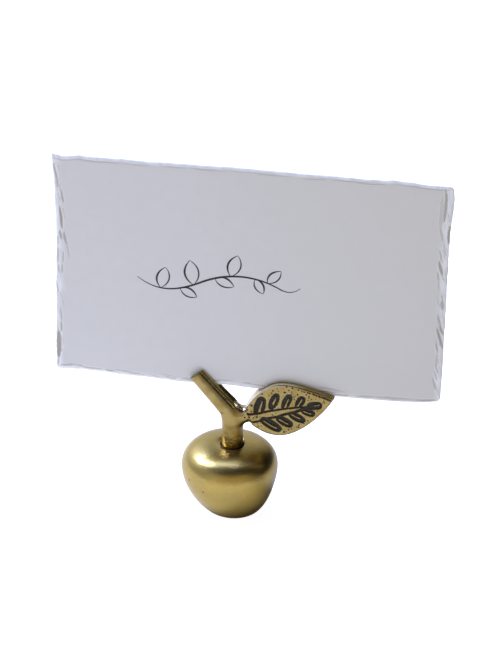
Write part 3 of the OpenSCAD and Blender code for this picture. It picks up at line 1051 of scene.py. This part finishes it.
# %% Zinc
ZINC_BLUE = (0.6, 0.6, 0.61)
ZINC_BRIGHT = (0.72, 0.72, 0.7)

zinc = Finish("zinc_steel")
spangle = zinc.grain(0.35, detail=1.0)
zinc.give(
    Metallic=1.0,
    Base_Color=zinc.mix(spangle, ZINC_BLUE, ZINC_BRIGHT),
    Roughness=0.25 + spangle * 0.15,
    Normal=zinc.bump(spangle, 0.004),
)
screw.data.materials.append(zinc.material)

# %% [markdown]
# A felt disc is glued into the base to save the table. Punched felt has soft edges and a nap, so
# the disc is a stack of rings whose rim is rounded and roughened. It is flat where it rests on
# the table.

# %% Felt pad
pad_low, pad_high = box_mm("base_pad")
pad_r = (pad_high[0] - pad_low[0]) / 2
pad_t = pad_high[2] - pad_low[2]
edge = 0.2
PAD_SIDES = 120
corner = np.linspace(0, pi / 2, 6)
pad_profile = [(0.03, 0), (pad_r * 0.5, 0), (pad_r - 2 * edge, 0)]
pad_profile += [(pad_r - edge + edge * sin(a), edge - edge * cos(a)) for a in corner]
pad_profile += [(pad_r - edge + edge * cos(a), pad_t - edge + edge * sin(a)) for a in corner]
pad_profile += [(pad_r * 0.5, pad_t), (0.03, pad_t)]
points, faces = loft([(0, r, h) for r, h in pad_profile], PAD_SIDES, closed=False)
fuzz = 0.05 * np.abs(lumps(points, 0.3, 41)) + 0.03 * np.abs(lumps(points, 1.1, 42))
rim = smooth_step(pad_r - 3 * edge, pad_r, np.hypot(points[:, 0], points[:, 1]))
points[:, :2] *= (1 - fuzz * rim / pad_r)[:, None]
faces += end_caps(len(points), PAD_SIDES)
pad = make_piece("felt_pad", points, faces, "holder", sharp=60)
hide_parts("base_pad")

# %% [markdown]
# Felt is short wool fibres pressed together. They scatter light at grazing angles, which the
# sheen of the shader stands for, and they mat into clumps of slightly different green-black.

# %% Felt
FELT_DARK = (0.016, 0.026, 0.019)
FELT_LIGHT = (0.06, 0.08, 0.064)

felt = Finish("felt")
nap = felt.grain(0.12, detail=4.0, roughness=0.7)
clump = felt.grain(0.9, detail=3.0)
felt.give(
    Base_Color=felt.mix(clump * 0.6 + nap * 0.4, FELT_DARK, FELT_LIGHT),
    Roughness=0.95,
    Sheen_Weight=0.4,
    Sheen_Roughness=0.5,
    Normal=felt.bump(nap, 0.05),
)
pad.data.materials.append(felt.material)

# %% [markdown]
# The card is handmade cotton paper, torn to size against a ruler. Torn paper thins out towards its
# edge, and its layers let go one after another, which leaves slanting flakes two or three
# millimetres wide. A flat box could only be painted to look so. Here the card is a grid, fine
# near its edges and coarse in the middle, whose front and back are two height fields.

# %% Card outline
card_mid = (card_low[0] + card_high[0]) / 2
card_half_t = 0.3
# Places along each edge and how far the paper reaches there, from the card's middle line
left_edge = [
    (34.95, -45.0), (35.15, -45.3), (35.55, -45.52), (36.3, -45.6), (40, -45.55), (50, -45.4),
    (57, -45.3), (66, -45.15), (74, -45.1), (80, -45.35), (85, -45.4), (88, -45.75),
    (91.3, -45.85),
]
right_edge = [
    (34.3, 44.9), (35.3, 45.45), (45, 45.5), (57, 45.5), (66, 45.45), (74, 45.4), (80, 45.5),
    (83, 45.75), (85.5, 45.95), (88.6, 45.93), (89.8, 45.8), (90.4, 45.45), (90.75, 44.9),
]
bottom_edge = [
    (-45.0, 34.72), (-44.2, 34.52), (-41, 34.82), (-35, 34.73), (-31, 34.48), (-28, 34.29),
    (-24, 34.3), (-20, 34.0), (-17, 33.9), (-14, 33.8), (-9, 33.95), (-3.5, 34.05), (0, 33.8),
    (10, 33.55), (21, 33.4), (25, 33.36), (34, 33.38), (38.5, 33.6), (41, 33.77), (43, 34.1),
    (44.9, 34.3),
]
top_edge = [
    (-45.85, 91.35), (-44.6, 91.2), (-43.4, 90.9), (-41.5, 91.03), (-40.6, 91.2), (-39.7, 91.45),
    (-38.6, 91.3), (-37.6, 91.22), (-36, 91.2), (-30, 91.3), (-24, 91.1), (-20, 91.25),
    (-10, 91.3), (-3, 91.4), (4, 91.3), (12, 91.15), (18, 91.2), (24, 91.05), (30, 91.1),
    (32, 91.35), (34, 91.1), (36, 91.1), (38, 90.85), (42, 90.7), (44.9, 90.75),
]


def along_edge(edge_points, where):
    """The reach of an edge at places along it, rounded between the measured ones."""
    places, reach = np.array(edge_points).T
    i = np.clip(np.searchsorted(places, where) - 1, 0, len(places) - 2)
    gap = places[i + 1] - places[i]
    t = np.clip((where - places[i]) / gap, 0, 1)
    ease = t * t * (3 - 2 * t)
    straight = reach[i] + (reach[i + 1] - reach[i]) * t
    eased = reach[i] + (reach[i + 1] - reach[i]) * ease
    return 0.5 * (straight + eased)


def crowded(length, near, fine, coarse):
    """Shares from 0 to 1 over a length, closer together within near of both ends."""
    ends = np.arange(0, near - fine / 2, fine)
    middle = np.linspace(near, length - near, int((length - 2 * near) / coarse) + 1)
    return np.concatenate([ends, middle, length - ends[::-1]]) / length


card_w = 91.0
card_h = 57.0
across = crowded(card_w, near=4.2, fine=0.15, coarse=0.8)
upward = crowded(card_h, near=3.6, fine=0.15, coarse=0.35)
print("card grid", len(across), "by", len(upward))

# %% [markdown]
# Four curved edges make a patch: every point inside it is a blend of the left and right edges plus
# a blend of the bottom and top, less the corners counted twice. The small waves of the tear are
# added to the edges first, so they fade out across the grid by themselves.

# %% Card patch
def torn(where, seed, size=1.0):
    """Small waves of a torn edge, in millimetres."""
    line = np.column_stack([where, np.full(len(where), 0.5), np.full(len(where), seed)])
    return size * (0.07 * lumps(line, 1.3, seed) + 0.05 * lumps(line, 0.45, seed + 1))


def spread(edge_points, shares):
    """Places along an edge, from its first measured place to its last."""
    first, last = edge_points[0][0], edge_points[-1][0]
    return first + shares * (last - first)


left_z, right_z = spread(left_edge, upward), spread(right_edge, upward)
low_x, high_x = spread(bottom_edge, across), spread(top_edge, across)
edge_l = np.column_stack([along_edge(left_edge, left_z) + torn(left_z, 51), left_z])
edge_r = np.column_stack([along_edge(right_edge, right_z) + torn(right_z, 53), right_z])
edge_b = np.column_stack([low_x, along_edge(bottom_edge, low_x) + torn(low_x, 55)])
edge_t = np.column_stack([high_x, along_edge(top_edge, high_x) + torn(high_x, 57, 0.8)])
for side, row in ((edge_l, 0), (edge_r, -1)):
    side[0], side[-1] = edge_b[row], edge_t[row]
u, v = across[:, None, None], upward[None, :, None]
flat = ((1 - u) * edge_l[None] + u * edge_r[None]
        + (1 - v) * edge_b[:, None] + v * edge_t[:, None]
        - (1 - u) * (1 - v) * edge_b[0] - u * (1 - v) * edge_b[-1]
        - (1 - u) * v * edge_t[0] - u * v * edge_t[-1])
card_x, card_z = flat[..., 0], flat[..., 1]
print("card spans", round(float(np.ptp(card_x)), 1), "by", round(float(np.ptp(card_z)), 1), "mm")
from_left, from_right = across[:, None] * card_w, (1 - across[:, None]) * card_w
from_low, from_high = upward[None, :] * card_h, (1 - upward[None, :]) * card_h
from_side = np.minimum(from_left, from_right)
from_ends = np.minimum(from_low, from_high)
from_edge = np.minimum(from_side, from_ends)

# %% [markdown]
# Where the paper tore, its layers let go in long thin flakes that lean across the edge, and each
# leaves a lens-shaped hollow, painted in shade, beside a ridge with a painted highlight. The
# larger hollows are listed: height of the upper end, distance from the edge at both ends, length,
# width and depth from 0 to 1.
# The upper and lower edges tore closer to the ruler, so theirs are finer and come from a seeded
# list.

# %% Hollows of the torn edges
left_hollows = [
    (89.0, 0.5, 1.0, 6.2, 0.4, 0.8), (82.1, 1.7, 2.2, 3.3, 0.5, 0.7),
    (81.5, 0.8, 1.5, 2.2, 0.25, 0.5), (77.9, 1.2, 1.55, 5.8, 0.6, 1.0),
    (72.2, 2.0, 3.2, 7.8, 0.3, 0.6), (71.7, 1.0, 1.3, 2.4, 0.5, 0.8),
    (77.9, 2.0, 2.2, 3.3, 0.25, 0.4), (71.3, 2.0, 2.4, 2.9, 0.5, 0.8),
    (70.4, 0.5, 0.55, 2.4, 0.3, 0.5), (67.3, 0.5, 0.55, 4.2, 0.4, 0.6),
    (66.4, 1.7, 1.8, 3.3, 0.35, 0.6), (62.9, 0.6, 0.8, 2.5, 0.35, 0.6),
    (62.9, 1.5, 1.5, 2.5, 0.4, 0.6), (58.6, 0.15, 0.5, 3.5, 0.4, 0.6),
    (51.1, 1.1, 1.5, 3.5, 0.35, 0.7), (47.6, 1.25, 1.35, 2.9, 0.4, 0.8),
    (45.0, 0.78, 0.72, 7.3, 1.05, 1.0), (37.8, 0.8, 0.3, 2.6, 0.35, 0.6),
]
right_hollows = [
    (90.1, 1.85, 1.7, 8.5, 0.6, 0.8), (88.2, 2.7, 2.3, 8.8, 0.8, 0.3),
    (80.9, 0.25, 0.25, 4.6, 0.6, 0.9), (80.3, 2.3, 1.5, 3.3, 0.5, 0.5),
    (76.1, 1.3, 0.5, 3.3, 0.25, 0.6), (74.6, 2.1, 1.4, 3.1, 0.4, 0.6),
    (71.7, 2.1, 1.2, 3.7, 0.7, 0.9), (68.9, 2.3, 1.9, 2.4, 0.4, 0.7),
    (70.6, 0.1, 0.1, 2.4, 0.2, 0.6), (66.7, 2.0, 1.8, 2.6, 0.4, 0.4),
    (63.2, 1.1, 0.9, 2.2, 0.35, 0.6), (61.6, 0.9, 0.75, 2.6, 0.8, 0.7),
    (57.7, 1.75, 0.9, 3.5, 0.4, 0.8), (54.8, 1.2, 0.3, 2.4, 0.6, 0.9),
    (54.2, 1.8, 0.15, 5.5, 0.6, 1.0), (50.4, 1.8, 1.3, 2.8, 0.45, 0.7),
    (47.8, 1.45, 1.4, 3.9, 0.5, 0.4), (44.5, 1.7, 0.9, 2.4, 0.35, 0.6),
    (42.8, 1.9, 1.1, 2.7, 0.35, 0.6), (40.8, 2.1, 1.1, 3.3, 0.5, 0.6),
]


def fine_hollows(seed, count, ends, offsets, tilt, lengths, widths, depths):
    """A seeded row of small hollows between two ends, in the same form as the lists."""
    rng = np.random.default_rng(seed)
    found = []
    for place in np.linspace(*ends, count) + rng.uniform(-1.5, 1.5, count):
        offset = rng.uniform(*offsets)
        found.append((place, offset, max(offset + tilt * rng.uniform(0.4, 1.2), 0.1),
                      rng.uniform(*lengths), rng.uniform(*widths), rng.uniform(*depths)))
    return found


left_hollows += fine_hollows(75, 30, (90, 37), offsets=(0.2, 1.7), tilt=0.5,
                             lengths=(1.5, 3.5), widths=(0.12, 0.26), depths=(0.2, 0.5))
right_hollows += fine_hollows(77, 34, (90, 37), offsets=(0.6, 2.2), tilt=-0.8,
                              lengths=(1.5, 3.5), widths=(0.12, 0.26), depths=(0.2, 0.5))
lower_hollows = fine_hollows(71, 34, (45, -42), offsets=(0.35, 1.0), tilt=0.3,
                             lengths=(2, 5), widths=(0.2, 0.42), depths=(0.4, 0.9))
lower_hollows += [(44.3, 0.75, 0.85, 17.0, 0.7, 0.45), (23.0, 1.4, 2.3, 6.5, 0.4, 0.6)]
upper_hollows = fine_hollows(73, 14, (45, -42), offsets=(0.9, 1.15), tilt=0.1,
                             lengths=(6, 11), widths=(0.22, 0.38), depths=(0.3, 0.6))
print("hollows", [len(h) for h in (left_hollows, right_hollows, lower_hollows, upper_hollows)])


def hollow_field(along, from_this_edge, hollows):
    """How deep the hollows are and how much ridge there is beside them, both 0 to 1."""
    deep, beside = np.zeros(along.shape), np.zeros(along.shape)
    for top, offset_top, offset_foot, length, width, strength in hollows:
        t = np.clip((top - along) / length, 0, 1)
        half = 0.62 * width * np.sin(pi * t) ** 0.45 + 1e-3
        away = np.abs(from_this_edge - offset_top - t * (offset_foot - offset_top)) / half
        there = strength * ((t > 0) & (t < 1))
        deep = np.maximum(deep, there * smooth_step(1.3, 0.5, away))
        beside = np.maximum(beside, there * smooth_step(2.2, 1.2, away))
    return deep, beside * (1 - deep)


# %% [markdown]
# The sheet thins to almost nothing at the very edge and is a little loose over a ragged band
# beside it. The hollows are pressed into that. What comes out is two marks for the finish, one
# of painted shade in the hollows and one of painted highlight on the torn fibres, and how far the
# surface lies below the sheet's full thickness.

# %% Torn relief
BAND_DROP, HOLLOW_DROP, RIDGE_RISE, STREAK_RISE = 0.03, 0.11, 0.03, 0.03
DROP_LEAST, DROP_MOST = -0.03, 0.2
# Shares of the thickness that are lost at the very edge, and at the lower one
EDGE_LOSS, LOWER_EDGE_LOSS = 0.85, 0.3


def tear(hollows, seed):
    """Surface drop in millimetres, painted shade of the hollows and painted highlight of the tear.
    """
    left, right, lower, upper = hollows
    fields = [hollow_field(card_z, from_left, left), hollow_field(card_z, from_right, right),
              hollow_field(card_x, from_low, lower), hollow_field(card_x, from_high, upper)]
    deep = np.max([f[0] for f in fields], axis=0)
    beside = np.max([f[1] for f in fields], axis=0)
    spots = np.stack([card_x, card_z, np.full(card_x.shape, float(seed))], axis=-1)
    spots = spots.reshape(-1, 3)
    ragged = lumps(spots, 3.0, seed).reshape(card_x.shape)
    # Streaks are drawn out along the sides and lean a little
    streaks = lumps(spots * (2.2, 0.35, 1) + spots[:, [1, 0, 2]] * (0.4, 0, 0), 1.0, seed + 1)
    streaks = streaks.reshape(card_x.shape)
    side_band = smooth_step(1.5, 0.5, from_side / (1.5 + 0.7 * ragged))
    end_band = smooth_step(1.2, 0.7, from_ends / (0.8 + 0.3 * ragged))
    band = np.maximum(side_band, end_band)
    # Painted highlight: the torn band, its streaks and the ridges are marked to be near-white
    fibre = np.clip(band * (0.75 + 0.5 * streaks) + 0.7 * beside, 0, 1) * (1 - deep)
    drop = BAND_DROP * band + HOLLOW_DROP * deep
    drop = drop - RIDGE_RISE * beside - STREAK_RISE * streaks * band
    drop = np.clip(drop, DROP_LEAST, DROP_MOST) * (1 - np.exp(-from_edge / 0.3))
    thin = EDGE_LOSS * np.exp(-np.minimum(from_side, from_high) / 0.3)
    thin = card_half_t * np.minimum(thin + LOWER_EDGE_LOSS * np.exp(-from_low / 0.2), EDGE_LOSS)
    return drop + thin, deep, fibre


def card_wave(x, z):
    """How far handmade paper sways from flat. It is flat where the slot holds it."""
    return 0.12 * np.sin(x / 21 + 0.6) * np.sin(z / 17) * smooth_step(37.5, 46, z)


# The back is torn in the same way, with the lists of opposite edges exchanged
front_drop, front_deep, front_fibre_highlight = tear(
    (left_hollows, right_hollows, lower_hollows, upper_hollows), 61)
back_drop, back_deep, back_fibre_highlight = tear(
    (right_hollows, left_hollows, upper_hollows, lower_hollows), 65)
front_y = -(card_half_t - front_drop) + card_wave(card_x, card_z)
back_y = (card_half_t - back_drop) + card_wave(card_x, card_z)
print("deepest tear", round(float(front_drop.max()), 2), "mm")

# %% [markdown]
# Front and back share the grid's numbering, and a strip of quads round the outside joins them, so
# the card is one closed sheet with its real thickness.

# %% Card mesh
columns, rows_count = card_x.shape
front_points = np.stack([card_x + card_mid, front_y, card_z], axis=-1).reshape(-1, 3)
back_points = np.stack([card_x + card_mid, back_y, card_z], axis=-1).reshape(-1, 3)
grid = np.arange(columns * rows_count).reshape(columns, rows_count)
offset = columns * rows_count
quad_corners = [grid[:-1, :-1], grid[1:, :-1], grid[1:, 1:], grid[:-1, 1:]]
front_quads = np.stack(quad_corners, axis=-1).reshape(-1, 4)
back_quads = front_quads[:, ::-1] + offset
border = np.concatenate([grid[:, 0], grid[-1, 1:], grid[-2::-1, -1], grid[0, -2:0:-1]])
after = np.roll(border, -1)
edge_quads = np.stack([after, border, border + offset, after + offset], axis=-1)
card_marks = {
    # The first mark is painted shade, the second painted highlight
    "hollow": np.concatenate([front_deep.ravel(), back_deep.ravel()]),
    "fibre": np.concatenate([front_fibre_highlight.ravel(), back_fibre_highlight.ravel()]),
}
card = make_piece("torn_card", np.vstack([front_points, back_points]),
                  np.vstack([front_quads, back_quads, edge_quads]).tolist(),
                  "card", marks=card_marks)
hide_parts("name_card")

# %% [markdown]
# Cotton paper is matt and almost white, with a soft tooth from the felt that it was couched on.
# Where it is torn, the loose fibres get a painted highlight in near-white, and the hollows
# between them get painted shade in beige, from the two marks of the relief.

# %% Cotton paper
PAPER = (0.783, 0.793, 0.785)
# The sheet turns a little darker and warmer towards its right
PAPER_WARM = (0.77, 0.77, 0.735)
PULP = (0.75, 0.755, 0.74)
FIBRE_HIGHLIGHT = (0.96, 0.98, 1.0)
HOLLOW_SHADE = (0.42, 0.38, 0.32)

paper = Finish("cotton_paper")
tooth = paper.grain(0.55, detail=4.0, roughness=0.6)
pulp = paper.grain(3.0, detail=4.0)
sheet_tone = paper.mix(paper.place.part("X").step(-40, 45), PAPER, PAPER_WARM)
sheet_tone = paper.mix(pulp.step(0.35, 0.75) * 0.35, sheet_tone, PULP)
# Painted highlight on the torn fibres
torn_tone = paper.mix(paper.mark("fibre"), sheet_tone, FIBRE_HIGHLIGHT)
paper.give(
    # Painted shade: beige in the hollows, over the painted highlight
    Base_Color=paper.mix(paper.mark("hollow") * 0.85, torn_tone, HOLLOW_SHADE),
    Roughness=0.9,
    Specular_IOR_Level=0.25,
    Normal=paper.bump(tooth, 0.02),
)
card.data.materials.append(paper.material)

# %% [markdown]
# The front of the card carries a pen-drawn sprig, a plain ornament that takes up the one on the
# leaf. Each stroke is a thin solid ribbon that swells in its middle, as a pointed pen's line
# does, and lies just proud of the paper. Ink painted into the paper's colour would need a
# picture, and a ribbon is sharp from any distance.

# %% Pen strokes
SPRIG_SHIFT = 5.5
INK_FRONT = -(card_half_t + 0.03)
INK_BACK = -(card_half_t - 0.04)
STEM_PEN = 0.5
LEAF_PENS = (0.46, 0.34)


def pen_stroke(path, width, start_share=0.25):
    """Points and faces of one ribbon along a path of x and z, widest in its middle."""
    path = np.array(path, float)
    way = np.gradient(path, axis=0)
    way /= np.linalg.norm(way, axis=1)[:, None]
    side = np.column_stack([-way[:, 1], way[:, 0]])
    press = start_share + (1 - start_share) * np.sin(np.linspace(0, pi, len(path)))
    half = width / 2 * press[:, None]
    edges = [path + side * half, path - side * half]
    corners = [np.column_stack([e[:, 0], np.full(len(e), y), e[:, 1]])
               for e in edges for y in (INK_FRONT, INK_BACK)]
    ring_points = np.stack([corners[0], corners[2], corners[3], corners[1]], axis=1).reshape(-1, 3)
    ring_faces = []
    for k in range(len(path) - 1):
        for i in range(4):
            j = (i + 1) % 4
            ring_faces.append((4 * k + i, 4 * k + j, 4 * k + 4 + j, 4 * k + 4 + i))
    last = 4 * (len(path) - 1)
    ring_faces += [(3, 2, 1, 0), (last, last + 1, last + 2, last + 3)]
    return ring_points, ring_faces


def pen_leaf(base, length, angle, curl):
    """Two strokes that meet at a leaf's base and tip."""
    way = np.array([cos(angle), sin(angle)])
    side = np.array([-way[1], way[0]])
    tip = base + length * way
    belly = 0.36 * length
    one = bezier(base, base + 0.3 * length * way + belly * side,
                 tip - 0.3 * length * way + belly * side * curl, tip, 18)
    two = bezier(base, base + 0.3 * length * way - belly * side,
                 tip - 0.25 * length * way - belly * side * curl, tip, 18)
    return list(zip((one, two), LEAF_PENS))


# %% [markdown]
# The sprig is one long stem of three curves and seven leaves that sit on points of it. All its
# ribbons are joined into one piece, which sways with the card.

# %% Pen sprig
stem_line = np.vstack([
    bezier((-31.5, 61.3), (-26.5, 57.2), (-21.5, 58.6), (-16.5, 61.2), 40),
    bezier((-16.5, 61.2), (-11.0, 64.0), (-4.5, 64.4), (1.6, 61.0), 40)[1:],
    bezier((1.6, 61.0), (3.4, 60.0), (5.0, 60.2), (6.4, 61.6), 14)[1:],
])
# Each leaf: its place in the stem's list of points, its length, its angle and its curl
ink_leaves = [(14, 5.6, 78, 0.9), (26, 4.4, -28, 0.8), (34, 6.4, 98, 0.9), (46, 4.8, -22, 0.8),
              (54, 5.8, 74, 0.9), (66, 4.2, -62, 0.8), (72, 4.6, 48, 0.8)]
ink_strokes = [(stem_line, STEM_PEN)]
for place, length, angle, curl in ink_leaves:
    ink_strokes += pen_leaf(stem_line[place], length, radians(angle), curl)
ink_points, ink_faces = [], []
for path, width in ink_strokes:
    ribbon_points, ribbon_faces = pen_stroke(path, width)
    start = sum(len(p) for p in ink_points)
    ink_points.append(ribbon_points)
    ink_faces += [tuple(start + i for i in face) for face in ribbon_faces]
ink_points = np.vstack(ink_points)
ink_points[:, 0] += SPRIG_SHIFT
ink_points[:, 1] += card_wave(ink_points[:, 0], ink_points[:, 2])
ink_points[:, 0] += card_mid
pen_sprig = make_piece("pen_sprig", ink_points, ink_faces, "card", sharp=50)

# %% [markdown]
# Iron-gall ink dries almost black. It is darkest where it pooled and a little paler where the
# nib ran dry, so soft noise moves the colour and the gloss between the two.

# %% Ink
INK_POOLED = (0.012, 0.011, 0.014)
INK_DRY = (0.05, 0.04, 0.045)

ink = Finish("iron_gall_ink")
pooled = ink.grain(0.8, detail=2.0)
ink.give(
    Base_Color=ink.mix(pooled.step(0.35, 0.7), INK_POOLED, INK_DRY),
    Roughness=0.55 + pooled * 0.2,
)
pen_sprig.data.materials.append(ink.material)

# %% [markdown]
# The table is plain, and it burns out to paper white in the picture while the metal reflects it
# as a pale grey, as happens when a camera is set for the metal. So it is a grey table with some
# light of its own: more of it for the camera and towards the window, little at the right, and
# none close to the foot, where the brass mirrors the apple's shadow. It is a stage, so it isn't
# part of the object.

# %% Floor
FLOOR_HALF = 1.6
TABLE = (0.43, 0.395, 0.31)
TABLE_BURNT_OUT = (1.1, 1.1, 1.12)
LIGHT_IN_FRONT = (0.58, 0.56, 0.48)
LIGHT_BY_WINDOW = (0.9, 0.88, 0.82)
LIGHT_AT_RIGHT = (0.14, 0.12, 0.08)
NO_LIGHT = (0.0, 0.0, 0.0)
FOOT_AT = (2.0, 0.0, 0.0)
SHADE_AT = (14.0, 13.0, 0.0)

floor_mesh = bpy.data.meshes.new("floor")
floor_corners = [(-FLOOR_HALF, -FLOOR_HALF, 0), (FLOOR_HALF, -FLOOR_HALF, 0),
                 (FLOOR_HALF, FLOOR_HALF, 0), (-FLOOR_HALF, FLOOR_HALF, 0)]
floor_mesh.from_pydata(floor_corners, [], [(0, 1, 2, 3)])
floor = bpy.data.objects.new("floor", floor_mesh)
bpy.context.scene.collection.objects.link(floor)
white = Finish("white_table")
seen = white.add("ShaderNodeLightPath", "Is Camera Ray")
across_table, depth = white.place.part("X"), white.place.part("Y")
near_foot = white.place.vector("DISTANCE", FOOT_AT).step(6, 13)
in_shade = white.place.vector("DISTANCE", SHADE_AT).step(8, 26)
to_right = (across_table * 0.8 + depth * 0.6).step(14, 46)
to_window = (depth * 0.9 - across_table * 0.1).step(10, 250)
own_light = white.mix(to_window, LIGHT_IN_FRONT, LIGHT_BY_WINDOW)
own_light = white.mix(to_right, own_light, LIGHT_AT_RIGHT)
own_light = white.mix(near_foot * in_shade, NO_LIGHT, own_light)
white.give(
    Base_Color=TABLE,
    Roughness=0.9,
    Specular_IOR_Level=0.1,
    Emission_Color=white.mix(seen, own_light, TABLE_BURNT_OUT),
    Emission_Strength=0.85,
)
floor.data.materials.append(white.material)

# %% [markdown]
# Polished metal is a picture of its room, so the light is built for the brass first. A window
# stands behind and to the left: it gives the white patch on the apple's left shoulder and the
# line along the leaf's rim. A second one, narrow and weak, passes overhead and brightens what
# faces up. The walls to the left and in front are pale. The ceiling and the right side stay
# dark, which draws the soft black band over the shoulder.

# %% Room
WARM_WALL = (1.0, 0.88, 0.72)
COOL_WALL = (0.93, 0.98, 1.16)
PLAIN_WHITE = (1.0, 1.0, 1.0)
DAYLIGHT = (0.72, 0.9, 1.85)
WINDOW_AWAY = 0.8
APPLE_HALF_UP = Vector((0, 0, 15)) * MM

world = bpy.data.worlds.new("room")
bpy.context.scene.world = world
world.use_nodes = True


class Room(Finish):
    """The world's node tree, with the same way to add nodes."""

    def __init__(self, tree):
        self.nodes, self.links = tree.nodes, tree.links
        self.way = self.add("ShaderNodeTexCoord", "Generated")


room = Room(world.node_tree)


def toward(azimuth, elevation):
    """A direction from the object: azimuth 0 is the camera's side and -90 is the left."""
    a, e = radians(azimuth), radians(elevation)
    return (sin(a) * cos(e), -cos(a) * cos(e), sin(e))


def pale_patch(azimuth, elevation, edge, core):
    """1 in the middle of a soft patch of wall, 0 outside it. Edge and core are cosines."""
    return room.way.vector("DOT_PRODUCT", toward(azimuth, elevation)).step(edge, core)


left_wall = pale_patch(-110, 0, -0.25, 0.3)
front_wall = pale_patch(15, 0, 0.35, 0.95)
bright_wall = pale_patch(-118, 36, 0.84, 0.98)
back_right = pale_patch(172, 22, 0.88, 0.99)
back_left = pale_patch(-152, 2, 0.8, 0.97)
low = room.way.part("Z").step(0.88, 0.5)
glow = 0.01 + low * (left_wall * 0.54 + front_wall * 0.62 + back_left * 0.25)
glow = glow + bright_wall * 0.6 + back_right * 0.25
seen = room.add("ShaderNodeLightPath", "Is Camera Ray")
tint = room.mix(left_wall, WARM_WALL, COOL_WALL)
ground = next(n for n in room.nodes if n.type == "BACKGROUND")
room.set(ground.inputs["Color"], room.mix(seen, tint, PLAIN_WHITE))
room.set(ground.inputs["Strength"], seen + (1 - seen) * glow)


def window(name, one_end, other_end, wide, power):
    """A cool strip of light between two directions from the apple."""
    ends = [Vector(toward(*way)) * WINDOW_AWAY for way in (one_end, other_end)]
    middle, along = (ends[0] + ends[1]) / 2, ends[1] - ends[0]
    light = bpy.data.lights.new(name, "AREA")
    light.shape, light.size, light.size_y = "RECTANGLE", wide, along.length
    light.energy, light.color = power, DAYLIGHT
    back, up = middle.normalized(), along.normalized()
    turn = Matrix((up.cross(back), up, back)).transposed().to_4x4()
    lamp = bpy.data.objects.new(name, light)
    lamp.matrix_world = Matrix.Translation(middle + APPLE_HALF_UP) @ turn
    bpy.context.scene.collection.objects.link(lamp)


window("window", (-105, 39), (-113, 66), wide=0.2, power=12.2)
window("window_top", (-99, 66), (107, 78), wide=0.05, power=0.75)
